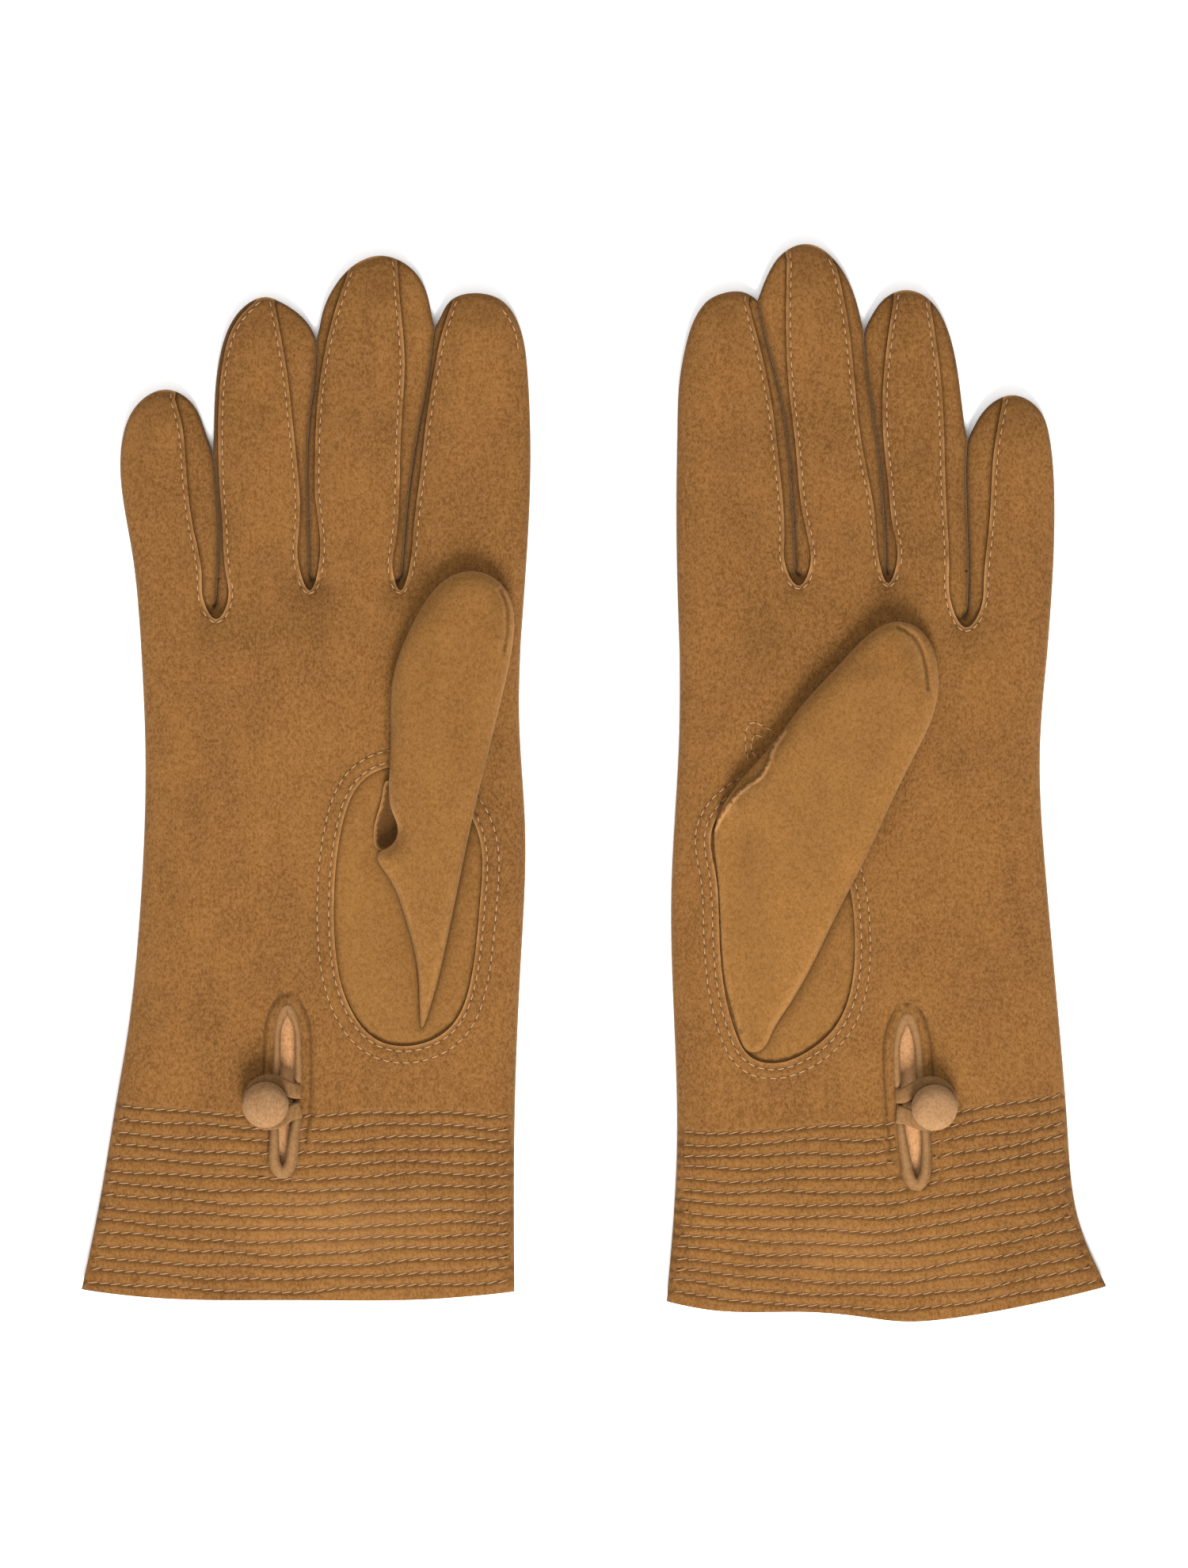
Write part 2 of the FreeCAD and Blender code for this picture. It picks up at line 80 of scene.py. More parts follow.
RIGHT = {
    "name": "right", "side": 1, "edge_across": -56.2, "hem_low": -1.94,
    "little_edge": [(-56.2, 0.5), (-51.8, 22), (-48.5, 42), (-45.5, 60), (-42.7, 88),
                    (-41.5, 124), (-42.6, 150)],
    "index_edge": [(43.5, 0), (43.6, 42), (45.1, 78), (46.0, 106), (44.6, 132), (45.0, 150)],
    "hem": [(-56.2, 0.5), (-38, -1.5), (-8, -1.9), (27, -1.5), (43.5, 0)],
    "little": [(-42.6, 150), (-44.5, 169.5), (-47.3, 190), (-46.4, 198), (-43.5, 204),
               (-36.5, 207.6), (-30.4, 204), (-27.8, 198), (-25.75, 190.5), (-24.68, 171),
               (-25.82, 150)],
    "ring": [(-25.68, 150), (-24.52, 171), (-25.45, 190.5), (-25.5, 206), (-24.2, 216),
             (-21.1, 224), (-16.9, 228), (-13.6, 228.9), (-10.9, 228), (-6.2, 225), (-3.6, 222),
             (-2.35, 218), (-3.72, 200), (-4.12, 180), (-3.17, 150)],
    "middle": [(-3.03, 150), (-3.97, 180), (-3.57, 200), (-2.2, 214), (-1.6, 220), (-0.5, 226),
               (2.5, 232), (6.2, 236), (12.2, 238.4), (19.1, 236), (22.4, 232), (24.2, 226),
               (24.8, 221), (23.55, 210), (21.67, 200), (18.76, 180), (16.88, 150)],
    "index": [(17.02, 150), (18.9, 180), (21.82, 200), (23.7, 210), (25.15, 220.5), (26.4, 224),
              (28.7, 228), (34.7, 229.8), (40.7, 228), (44.7, 222), (46.5, 212), (47.1, 200),
              (47.2, 190), (46.4, 170), (45, 150)],
    "crotches": [(-25.5, 157.5), (-3.1, 163.5), (16.9, 163.5)],
    "bend": {"little": (158.0, 170.5), "ring": (164.0, 176.5), "middle": (164.0, 176.5),
             "index": (164.0, 177.5)},
    # each seam runs from a fingertip down to the crotch, round it, and up to the next tip
    "seams": [
        [(-34.9, 206.2), (-33.0, 200), (-31.8, 189), (-30.0, 174.6), (-28.3, 165), (-27.6, 158),
         (-24.9, 154.6), (-22.5, 158), (-22.9, 166), (-23.6, 176), (-24.2, 184), (-24.6, 196),
         (-23.5, 214), (-20.5, 223), (-15.6, 228.3)],
        [(-11.8, 227.9), (-8.7, 211.3), (-6.9, 194.9), (-5.9, 176), (-5.8, 166), (-3.5, 161.2),
         (-1.6, 166), (-2.2, 182), (-2.3, 193), (-1.9, 203), (-0.8, 212), (0.9, 220.5),
         (5.5, 235.2)],
        [(16.6, 236.9), (17.4, 226), (18.3, 214.8), (17.8, 203), (17.3, 193), (17.0, 181),
         (16.0, 171), (15.5, 166.5), (17.3, 161.2), (19.4, 166.5), (20.3, 175), (21.9, 188),
         (23.2, 200), (24.9, 211), (26.5, 219), (29.5, 228.4)],
    ],
    "hole": [(14.6, 120.6), (8.4, 117.2), (4.2, 108), (2.2, 92), (2.6, 78), (5.6, 66),
             (12.2, 58.1), (20, 56.8), (28.9, 61.1), (33.8, 73), (35.7, 90), (35.4, 105),
             (27, 117)],
    "hole_rows": (1.15, 3.8),
    "thumb": [(22.4, 61.0), (21.7, 69), (20.6, 79), (17.8, 89), (14.6, 95.8), (12.4, 100.9),
              (15.2, 102.6), (16.9, 106.6), (15.4, 111.2), (14.9, 117.5), (15.3, 128),
              (15.7, 140.5), (18.5, 149.6), (22.6, 157.5), (27.3, 163.2), (33.6, 165.5),
              (39.5, 163.5), (42.8, 158.8), (43.4, 151), (41.2, 138.8), (37.4, 123.2),
              (33.4, 106.4), (30.5, 92.5), (27.7, 79.2), (24.6, 66.8)],
    "flush": None, "thumb_shelf": None,
    "thumb_seam": [(40.5, 161.1), (41.8, 158), (42.2, 154.5), (42.1, 151), (41.3, 147.2)],
    "thumb_dents": [(38.2, 155.5, 0.45, 2.4, 4.5), (19.4, 140, 0.25, 2.5, 9),
                    (24.5, 112, 0.2, 2.0, 9), (33, 128, 0.18, 3.5, 7)],
    "thumb_patches": [(39.6, 158.6, 1.2, 3.5, 0.5), (23.5, 145, 3.0, 6, 0.35),
                      (24, 155, 3, 4, 0.3), (40.6, 150, 0.8, 2.5, 0.5), (21, 111, 0.9, 6, 0.4),
                      (17.5, 138, 1.5, 5, 0.2), (31, 132, 3, 8, 0.2), (22, 95, 2, 5, 0.25)],
    "quirk": [(14.6, 117.5), (13.2, 113.5), (11.7, 108), (11.4, 104.6), (12.2, 102.2),
              (14.3, 101.4), (16.9, 103.4), (17.7, 106.8), (16.4, 111), (15.9, 116)],
    "triangle": [],
    "thumb_centre": (24.0, 100.0), "thumb_turn_deg": 9.1,
    "binding": [(-8.5, 65.6, 1.5), (-6.7, 62.4, 1.05), (-6.0, 57, 0.9), (-5.95, 50, 0.95),
                (-6.2, 44, 1.05), (-6.7, 38, 1.2), (-7.4, 33, 1.4), (-8.1, 29.2, 1.5),
                (-9.6, 27.6, 1.6), (-11.1, 29.2, 1.45), (-11.6, 33, 1.25), (-11.5, 38, 1.05),
                (-11.3, 44, 1.0), (-11.1, 50, 0.95), (-10.9, 57, 0.9), (-10.3, 62.4, 1.05)],
    "strap": [(-5.4, 46.4, 1.6, 8.0), (-6.8, 46.5, 1.75, 8.5), (-8.8, 47.6, 1.6, 8.8),
              (-11.2, 49.1, 1.15, 9.0), (-14.0, 49.2, 0.95, 9.1), (-16.6, 47.6, 0.85, 9.1),
              (-17.9, 44.6, 0.8, 9.1), (-17.5, 41.3, 0.8, 9.1), (-15.3, 39.0, 0.8, 9.1),
              (-12.5, 38.5, 0.9, 9.0), (-9.8, 39.7, 1.4, 8.8), (-7.4, 41.7, 1.85, 8.5),
              (-5.4, 42.1, 1.9, 8.0)],
    "button": (-13.3, 43.5),
    "index_tip": [(40.6, 226.0), (43.2, 222.0), (44.4, 216.5)],
    "lips": [(-35.4, 207.4), (-14.4, 228.8), (9.6, 237.9)],
    "patches": [(13.4, 230.1, 5.0, 3.2, 0.55), (36, 223.4, 5.5, 2.6, 0.5), (30, 217, 1.6, 4, 0.3),
                (-14.5, 221.5, 3.5, 3, 0.35), (-40.6, 197.5, 1.7, 4.5, 0.45),
                (-42.8, 187, 2, 6, 0.4), (-14, 201, 4, 3, 0.3), (6, 201, 6, 2, 0.3),
                (2.5, 190, 2, 7, 0.25), (-32, 168, 3, 4, 0.3), (-12, 168, 5, 3, 0.3),
                (8, 170, 5, 3, 0.25), (33, 176, 4, 7, 0.2), (-6, 152, 9, 3, 0.3),
                (-28, 148, 6, 3, 0.25), (15, 150, 3, 9, 0.35), (-30, 110, 5, 12, 0.2),
                (-37, 20, 13, 17, 0.22), (5, 15, 19, 9, -0.16), (-38, 66, 8, 14, 0.15)],
    "row_top": [(-48.4, 42.6), (-18.4, 40.9), (-3.3, 40.4), (17.9, 41.7), (28, 41.6),
                (42.8, 39.9)],
    "row_bottom": [(-52, 2.2), (-30.5, 0.4), (-9.7, -0.1), (14.5, 1.2), (43.4, 2.5)],
}
LEFT = {
    "name": "left", "side": -1, "edge_across": -55.3, "hem_low": -3.64,
    "little_edge": [(-55.3, 4.5), (-49.1, 19), (-46.4, 40), (-44.5, 64), (-41.3, 100),
                    (-40.0, 127), (-41.7, 150)],
    "index_edge": [(46, 1), (43.6, 38), (44.2, 64), (44.9, 95), (43.1, 131), (43.0, 150)],
    "hem": [(-55.3, 4.5), (-35.5, 0), (-19, -2.9), (-8.2, -3.6), (1, -2.5), (14, -1.3),
            (35.5, -0.9), (46, 1)],
    "little": [(-41.7, 150), (-42.9, 167), (-43.3, 188), (-42.2, 200), (-40, 206),
               (-33.5, 209.6), (-27.1, 206), (-24.7, 202), (-23.4, 198), (-23.62, 170),
               (-22.72, 150)],
    "ring": [(-22.58, 150), (-23.48, 170), (-23.2, 197), (-22.2, 206), (-20.9, 216),
             (-18.2, 226), (-14, 232), (-9.3, 233.8), (-4.4, 232), (-1.3, 228), (-0.4, 226),
             (0.2, 223), (-1.57, 206), (-4.33, 180), (-4.92, 150)],
    "middle": [(-4.78, 150), (-4.17, 180), (-1.43, 206), (0.7, 222), (1.5, 228), (3.3, 234),
               (6.7, 240), (13.6, 244.4), (19.5, 242), (23.3, 236), (24.7, 231.5), (23.9, 226),
               (20.3, 212), (16.73, 182), (15.38, 150)],
    "index": [(15.52, 150), (16.87, 182), (20.45, 212), (24.05, 226), (25.2, 231), (27.2, 232.9),
              (30.5, 233.5), (33.5, 232.9), (35.6, 232), (39.1, 228), (41.8, 220), (43.1, 212),
              (43.5, 202), (43.7, 190), (43.6, 170), (43, 150)],
    "crotches": [(-22.6, 158.5), (-4.9, 168.5), (15.5, 168.0)],
    "bend": {"little": (159.0, 172.0), "ring": (169.0, 182.0), "middle": (169.0, 182.0),
             "index": (168.5, 182.0)},
    "seams": [
        [(-31.6, 209.4), (-29.1, 196.4), (-28.2, 181.8), (-26.8, 166), (-26.0, 160),
         (-22.8, 156.0), (-19.8, 160), (-18.8, 170), (-18.2, 183.6), (-17.3, 209),
         (-14.5, 231)],
        [(-6.4, 232.6), (-3.9, 214.5), (-3.8, 200), (-5.0, 188), (-6.2, 178), (-7.0, 172),
         (-4.9, 166.2), (-2.7, 172), (-2.0, 180), (1.0, 197), (4.5, 227.3), (7.5, 241.5)],
        [(18.3, 241.5), (18.6, 228), (18.0, 212), (16.2, 196), (14.9, 183), (13.1, 174),
         (13.2, 169.5), (15.6, 165.6), (18.5, 169.5), (19.0, 176), (19.9, 190.9), (22.3, 210),
         (27.5, 231.5)],
    ],
    "hole": [(35.7, 109.5), (34.9, 100), (34.0, 86), (33.0, 74), (30.4, 63.5), (26.6, 57.4),
             (21, 56.1), (14, 58.6), (7.4, 64.4), (3.6, 74), (2.9, 86), (4.4, 98), (11, 111),
             (24, 119)],
    "hole_rows": (1.45, 3.5),
    "thumb": [(24.9, 58.8), (21.7, 63.4), (18.3, 69.0), (14.0, 76.3), (7.0, 90.6), (1.0, 102.4),
              (-5.3, 115.9), (-11.0, 127.4), (-14.9, 136), (-16.1, 144), (-14.6, 151.8),
              (-10.8, 156.2), (-5.5, 157.1), (-0.3, 154.4), (6.8, 147.2), (15.2, 138),
              (22.3, 128.7), (28.8, 121.4), (32.9, 115.6), (35.1, 109.6), (34.6, 101),
              (33.7, 87), (32.6, 74.5), (30.0, 64.4), (26.6, 58.6)],
    "flush": [(35.6, 106.5), (34.9, 100), (34.0, 86), (33.0, 74), (30.4, 63.5)],
    "thumb_shelf": [(35.8, 108.4), (34.4, 111.2), (31.5, 115.9), (28.1, 119.4), (24.8, 121.8),
                    (22.9, 125.1), (21.5, 128.6), (19.2, 132.2), (17, 139), (28, 138),
                    (42, 114)],
    "thumb_seam": [(-6.7, 156.0), (-9.2, 154.6), (-11.1, 152.6), (-12.3, 150), (-13.2, 146),
                   (-13.6, 141.6)],
    "thumb_dents": [(-10.6, 148.5, 0.5, 1.8, 4.5), (-1.5, 147.5, 0.25, 6, 2.5),
                    (14, 131, 0.25, 5, 3), (22, 80, 0.3, 2.5, 12)],
    "thumb_patches": [(-9.4, 150.3, 2.2, 2.2, 0.5), (1, 145.7, 5, 1.8, 0.4),
                      (-13.2, 144, 1.0, 3.5, 0.5), (12.5, 133.2, 4, 2, 0.35),
                      (8, 128, 3, 2, 0.2), (14, 120, 3, 5, 0.2), (28, 104, 2, 6, 0.3),
                      (24, 82, 3, 9, 0.2), (-6, 135, 2, 5, 0.2)],
    "quirk": [(19.6, 129.0), (23.0, 125.6), (25.5, 121.5), (22.5, 117.5), (17, 121), (16.5, 127)],
    "triangle": [[(21.6, 132.2), (26.9, 134.9), (28.0, 132.2), (28.05, 128.5), (27.2, 125.0)],
                 [(23.8, 130.8), (26.0, 131.5), (26.8, 129.4), (26.6, 127.6), (25.3, 126.0)]],
    "thumb_centre": (21.7, 100.9), "thumb_turn_deg": -31.9,
    "binding": [(-9.2, 66.8, 1.6), (-7.2, 63, 1.1), (-6.6, 57, 0.95), (-6.9, 50, 0.85),
                (-7.4, 44, 0.9), (-8.1, 38, 1.1), (-8.9, 33, 1.3), (-9.8, 29.6, 1.45),
                (-11.4, 28.1, 1.5), (-12.9, 29.9, 1.4), (-13.4, 33.5, 1.15),
                (-13.4, 38, 1.1), (-12.9, 44, 1.1), (-12.3, 50, 1.1), (-11.9, 57, 1.1),
                (-11.2, 62.6, 1.1)],
    "strap": [(-6.4, 48.6, 1.6, 8.0), (-8.0, 48.8, 1.8, 8.5), (-10.3, 50.3, 1.5, 8.8),
              (-12.9, 51.9, 1.1, 9.0), (-15.8, 52.1, 0.95, 9.1), (-18.4, 50.5, 0.85, 9.1),
              (-19.8, 47.5, 0.8, 9.1), (-19.3, 44.2, 0.8, 9.1), (-17.2, 42.1, 0.8, 9.1),
              (-14.4, 41.7, 0.95, 9.0), (-11.4, 42.5, 1.5, 8.8), (-8.6, 44.1, 2.0, 8.5),
              (-6.6, 44.4, 2.1, 8.0)],
    "button": (-15.1, 46.2),
    "index_tip": [],
    "lips": [(-31.0, 209.2), (-9.0, 233.8), (11.5, 244.2)],
    "patches": [(14.5, 237, 4.5, 3.4, 0.55), (31.5, 227.5, 4, 2.4, 0.5), (9, 228, 5, 2.6, 0.4),
                (-8.5, 225, 4, 3, 0.35), (-33, 203, 4, 3, 0.4), (-12, 196, 3, 7, 0.3),
                (8, 205, 4, 6, 0.25), (32, 196, 4, 8, 0.25), (-14, 176, 4, 4, 0.3),
                (5, 176, 5, 4, 0.3), (28, 178, 5, 5, 0.3), (-31, 172, 4, 5, 0.3),
                (-6, 160, 9, 3, 0.3), (24, 152, 8, 4, 0.3), (-28, 130, 6, 12, 0.2),
                (-36, 24, 12, 10, 0.15), (6, 12, 16, 7, -0.10)],
    "row_top": [(-45.7, 48.4), (-21, 45.3), (-3.6, 41.5), (15.2, 41.3), (32.9, 39.7),
                (43, 40.1)],
    "row_bottom": [(-53, 6.0), (-26.5, 1.1), (-7.7, -1.0), (8.3, -0.3), (25.7, 0.8), (41, 3.2)],
}


# ---------------------------------------------------------------- plan curves
def spline(points, step, closed=False):
    """Points about step apart on the smooth curve through these points."""
    p = np.array(points, float)
    if closed:
        p = np.vstack([p[-3:], p, p[:4]])
    runs = np.linalg.norm(np.diff(p[:, :2], axis=0), axis=1)
    t = np.concatenate([[0], np.cumsum(runs)])
    n, h = len(p), np.diff(t)
    system, right = np.eye(n), np.zeros(p.shape)
    for i in range(1, n - 1):
        system[i, i - 1:i + 2] = h[i - 1], 2 * (h[i - 1] + h[i]), h[i]
        right[i] = 6 * ((p[i + 1] - p[i]) / h[i] - (p[i] - p[i - 1]) / h[i - 1])
    m = np.linalg.solve(system, right)
    first, last = (t[3], t[-4]) if closed else (t[0], t[-1])
    count = max(2, int(round((last - first) / step)))
    s = np.linspace(first, last, count + 1)[:count if closed else None]
    i = np.clip(np.searchsorted(t, s, side="right") - 1, 0, n - 2)
    a, b, w = (t[i + 1] - s)[:, None], (s - t[i])[:, None], h[i][:, None]
    return ((m[i] * a ** 3 + m[i + 1] * b ** 3) / (6 * w)
            + (p[i] / w - m[i] * w / 6) * a + (p[i + 1] / w - m[i + 1] * w / 6) * b)


def resample(line, step):
    """Points about step apart along a line of straight runs."""
    t = np.concatenate([[0], np.cumsum(np.linalg.norm(np.diff(line, axis=0), axis=1))])
    s = np.linspace(0, t[-1], max(2, int(round(t[-1] / step)) + 1))
    return np.column_stack([np.interp(s, t, line[:, k]) for k in range(line.shape[1])])


def distance(points, line):
    """How far each plan point is from a line of straight runs."""
    a, run = line[:-1], np.diff(line, axis=0)
    square = np.maximum((run ** 2).sum(1), 1e-12)
    best = np.empty(len(points))
    for start in range(0, len(points), 2000):
        p = points[start:start + 2000, None, :]
        t = np.clip(((p - a) * run).sum(2) / square, 0, 1)
        best[start:start + 2000] = np.sqrt(((p - a - t[..., None] * run) ** 2).sum(2).min(1))
    return best


def inside(points, loop):
    """Which plan points lie inside a closed loop."""
    x, y = points[:, 0, None], points[:, 1, None]
    ax, ay = loop[:, 0], loop[:, 1]
    bx, by = np.roll(ax, -1), np.roll(ay, -1)
    crosses = (ay > y) != (by > y)
    with np.errstate(divide="ignore", invalid="ignore"):
        at_x = ax + (y - ay) * (bx - ax) / (by - ay)
    return (crosses & (x < at_x)).sum(1) % 2 == 1


def normals_of(line, closed=False):
    """Unit normals of a plan line, to the left of its direction."""
    if closed:
        run = np.roll(line, -1, axis=0) - np.roll(line, 1, axis=0)
    else:
        run = np.gradient(line, axis=0)
    run /= np.maximum(np.linalg.norm(run, axis=1), 1e-9)[:, None]
    return np.column_stack([-run[:, 1], run[:, 0]])


def smooth(x, low, high):
    """0 below low, 1 above high, and a smooth rise between them."""
    t = np.clip((x - low) / (high - low), 0, 1)
    return t * t * (3 - 2 * t)


def dome(x):
    """The quarter circle from 0 at x = 0 to 1 at x = 1."""
    return np.sqrt(np.clip(1 - (1 - np.clip(x, 0, 1)) ** 2, 0, 1))


def bell(x, width):
    """1 at x = 0, falling away on both sides within about width."""
    return np.exp(-(x / width) ** 2)


def spot(dx, dy, wide, long):
    """1 in the middle of an oval patch, falling away round it."""
    return np.exp(-(dx / wide) ** 2 - (dy / long) ** 2)


def ringed(loop):
    """A closed loop with its first point again at its end."""
    return np.vstack([loop, loop[:1]])


def outward_normals(loop):
    """Unit normals of a closed plan loop, pointing away from its middle."""
    n = normals_of(loop, True)
    return n * np.sign(((loop - loop.mean(0)) * n).sum(1))[:, None]


def staggered(low, high, across, along):
    """Grid points between two corners, with every other row half a step to the side."""
    return np.array([(x + across / 2 * (k % 2), y)
                     for k, y in enumerate(np.arange(low[1], high[1], along))
                     for x in np.arange(low[0], high[0], across)])


def no_marks(count):
    """Point values of a piece without worn edges, painted highlights or painted shade."""
    return {"edge": np.zeros(count), "painted_shade_and_patches": np.zeros(count)}


def doubled(values):
    """One value for each point of the palm side, and the same again for the back."""
    return np.concatenate([values, values])


def waves(points, length, seed):
    """Smooth noise from about -1 to 1 with features of that length."""
    scale = 1.0 / length
    return np.array([noise.noise(Vector((p[0] * scale, p[1] * scale, seed))) for p in points])


def fill(outline, lines, wanted):
    """Triangles inside a closed plan loop. lines are (points, closed) and stay as edges, wanted
    are (points, gap to points already there, gap to the loop)."""
    fixed, count = [outline], len(outline)
    edges = [(i, (i + 1) % count) for i in range(count)]
    total = count
    for line, closed in lines:
        ids = []
        for point in line:
            near = np.linalg.norm(outline - point, axis=1)
            if near.min() < 1e-6:
                ids.append(int(near.argmin()))
                continue
            ids.append(total)
            fixed.append(point[None])
            total += 1
        edges.extend(zip(ids, ids[1:]))
        if closed:
            edges.append((ids[-1], ids[0]))
    kept = [Vector((*p, 0)) for p in np.vstack(fixed)]
    round_loop = ringed(outline)
    for points, apart, from_loop in wanted:
        points = points[inside(points, outline) & (distance(points, round_loop) > from_loop)]
        tree = KDTree(len(kept) + len(points))
        for i, p in enumerate(kept):
            tree.insert(p, i)
        tree.balance()
        fresh = []
        for p in points:
            v = Vector((*p, 0))
            if tree.find(v)[2] > apart and all((v - w).length > apart for w in fresh[-3:]):
                fresh.append(v)
        kept.extend(fresh)
    made = delaunay_2d_cdt([Vector((p.x, p.y)) for p in kept], edges, [], 0, 1e-5)
    plan = np.array([tuple(v) for v in made[0]])
    faces = np.array([f for f in made[2] if len(f) == 3])
    a, b, c = (plan[faces[:, k]] for k in range(3))
    turn = (b[:, 0] - a[:, 0]) * (c[:, 1] - a[:, 1]) - (b[:, 1] - a[:, 1]) * (c[:, 0] - a[:, 0])
    faces = np.where((turn < 0)[:, None], faces[:, ::-1], faces)
    return plan, faces[inside((a + b + c) / 3, outline) & (np.abs(turn) > 1e-7)]


# ---------------------------------------------------------------- meshes
def vertex_normals(points, faces):
    a, b, c = (points[faces[:, k]] for k in range(3))
    face = np.cross(b - a, c - a)
    out = np.zeros_like(points)
    for k in range(3):
        np.add.at(out, faces[:, k], face)
    return out / np.maximum(np.linalg.norm(out, axis=1), 1e-9)[:, None]


def make_mesh(name, points, faces, materials, face_material=None, loop_normals=None,
              attributes=None, smooth_shading=True):
    """A mesh object from millimetres, with optional corner normals and point values."""
    mesh = bpy.data.meshes.new(name)
    mesh.from_pydata((np.asarray(points) * MM).tolist(), [], [list(f) for f in faces])
    for material in materials:
        mesh.materials.append(material)
    if face_material is not None:
        mesh.polygons.foreach_set("material_index", np.asarray(face_material, np.int32))
    mesh.polygons.foreach_set("use_smooth", np.full(len(mesh.polygons), smooth_shading))
    for key, values in (attributes or {}).items():
        layer = mesh.attributes.new(key, "FLOAT", "POINT")
        layer.data.foreach_set("value", np.asarray(values, np.float32))
    mesh.update()
    if loop_normals is not None:
        mesh.normals_split_custom_set(np.asarray(loop_normals).tolist())
    obj = bpy.data.objects.new(name, mesh)
    bpy.context.scene.collection.objects.link(obj)
    return obj


def skin(name, points, normals, faces, thickness, materials, attributes):
    """A piece of leather: an outer face, an inner face and the cut edges between them."""
    used, index = np.unique(faces, return_inverse=True)
    faces = index.reshape(-1, 3)
    outer, normal = points[used], normals[used]
    thick = thickness[used] if isinstance(thickness, np.ndarray) else thickness
    inner = outer - normal * (thick[:, None] if isinstance(thick, np.ndarray) else thick)
    count = len(outer)
    edges = np.vstack([faces[:, [0, 1]], faces[:, [1, 2]], faces[:, [2, 0]]])
    key = np.sort(edges, axis=1)
    _, first, repeats = np.unique(key, axis=0, return_index=True, return_counts=True)
    border = edges[first[repeats == 1]]
    rim = np.column_stack([border[:, 1], border[:, 0], border[:, 0] + count,
                           border[:, 1] + count])
    vertices = np.vstack([outer, inner])
    all_faces = faces.tolist() + (faces[:, ::-1] + count).tolist() + rim.tolist()
    a, b, c, d = (vertices[rim[:, k]] for k in range(4))
    flat = np.cross(c - a, d - b)
    flat /= np.maximum(np.linalg.norm(flat, axis=1), 1e-9)[:, None]
    loop_normals = np.vstack([normal[faces].reshape(-1, 3),
                              -normal[faces[:, ::-1]].reshape(-1, 3), np.repeat(flat, 4, axis=0)])
    kinds = [0] * len(faces) + [1] * len(faces) + [2] * len(rim)
    values = {key: np.concatenate([v[used], v[used]]) for key, v in attributes.items()}
    return make_mesh(name, vertices, all_faces, materials, kinds, loop_normals, values)


def stitch_shape(length, radius, sides=5):
    """One stitch's points and faces, along X: a thin capsule."""
    rings = [(-0.38, 0.72), (0.0, 1.0), (0.38, 0.72)]
    points = [(-0.5 * length, 0, 0)]
    for share, width in rings:
        for k in range(sides):
            turn = 2 * math.pi * k / sides
            points.append((share * length, radius * width * math.cos(turn),
                           radius * width * math.sin(turn)))
    points.append((0.5 * length, 0, 0))
    faces = []
    for k in range(sides):
        after = (k + 1) % sides
        faces.append((0, 1 + after, 1 + k))
        for ring in range(len(rings) - 1):
            a, b = 1 + ring * sides, 1 + (ring + 1) * sides
            faces.append((a + k, a + after, b + after))
            faces.append((a + k, b + after, b + k))
        last = 1 + (len(rings) - 1) * sides
        faces.append((last + k, last + after, len(points) - 1))
    return np.array(points), np.array(faces)


def sew(name, runs, tree, material, pitch=2.0, length=1.35, radius=0.17, slant=0.0, lift=0.04,
        below=False, keep=None, hole=0.15):
    """Stitches, and dark marks painted as the shade in needle holes, along plan lines, laid on the
    surface that tree holds.
    """
    shapes = [stitch_shape(length, radius), stitch_shape(0.55, hole or 0.1)]
    points, faces, kinds, total = [], [], [], 0
    down = 1.0 if below else -1.0
    for run in runs:
        path = resample(run, pitch)
        spots = [(k, 0.5, 0) for k in range(len(path) - 1)]
        if hole:
            spots += [(k, 0.0, 1) for k in range(1, len(path) - 1)]
        for k, share, kind in spots:
            a, b = path[k], path[k + 1]
            middle = a + (b - a) * share
            shape, shape_faces = shapes[kind]
            if keep is not None and not keep(middle):
                continue
            hit, normal, _, _ = tree.ray_cast(Vector((middle[0], middle[1], -down * 60)),
                                              Vector((0, 0, down)))
            if hit is None:
                continue
            up = np.array(normal) * (1 if normal[2] * -down > 0 else -1)
            along = np.array([b[0] - a[0], b[1] - a[1], 0.0])
            along -= up * along.dot(up)
            along /= np.linalg.norm(along)
            across = np.cross(up, along)
            turned = along * math.cos(slant) + across * math.sin(slant)
            across = np.cross(up, turned)
            basis = np.stack([turned, across, up])
            faces.append(shape_faces + total)
            total += len(shape)
            points.append(shape @ basis + np.array(hit) + up * (lift if kind == 0 else 0.0))
            kinds.extend([kind] * len(shape_faces))
    if not points:
        return None
    return make_mesh(name, np.vstack(points), np.vstack(faces), [material, NEEDLE_HOLE_SHADE], kinds)


# ---------------------------------------------------------------- materials
def nodes_for(name):
    material = bpy.data.materials.new(name)
    material.use_nodes = True
    tree = material.node_tree
    tree.nodes.clear()
    output = tree.nodes.new("ShaderNodeOutputMaterial")
    shader = tree.nodes.new("ShaderNodeBsdfPrincipled")
    tree.links.new(shader.outputs["BSDF"], output.inputs["Surface"])
    return material, tree, shader


def set_inputs(node, values):
    for key, value in values.items():
        node.inputs[key].default_value = value


def noise_node(tree, vector, scale, detail=3.0, rough=0.55, stretch=(1, 1, 1)):
    mapping = tree.nodes.new("ShaderNodeMapping")
    mapping.inputs["Scale"].default_value = stretch
    tree.links.new(vector, mapping.inputs["Vector"])
    node = tree.nodes.new("ShaderNodeTexNoise")
    set_inputs(node, {"Scale": scale, "Detail": detail, "Roughness": rough})
    tree.links.new(mapping.outputs["Vector"], node.inputs["Vector"])
    return node.outputs["Fac"]


def math_node(tree, kind, a, b):
    node = tree.nodes.new("ShaderNodeMath")
    node.operation = kind
    for socket, value in zip(node.inputs, (a, b)):
        if isinstance(value, (int, float)):
            socket.default_value = value
        else:
            tree.links.new(value, socket)
    return node.outputs[0]


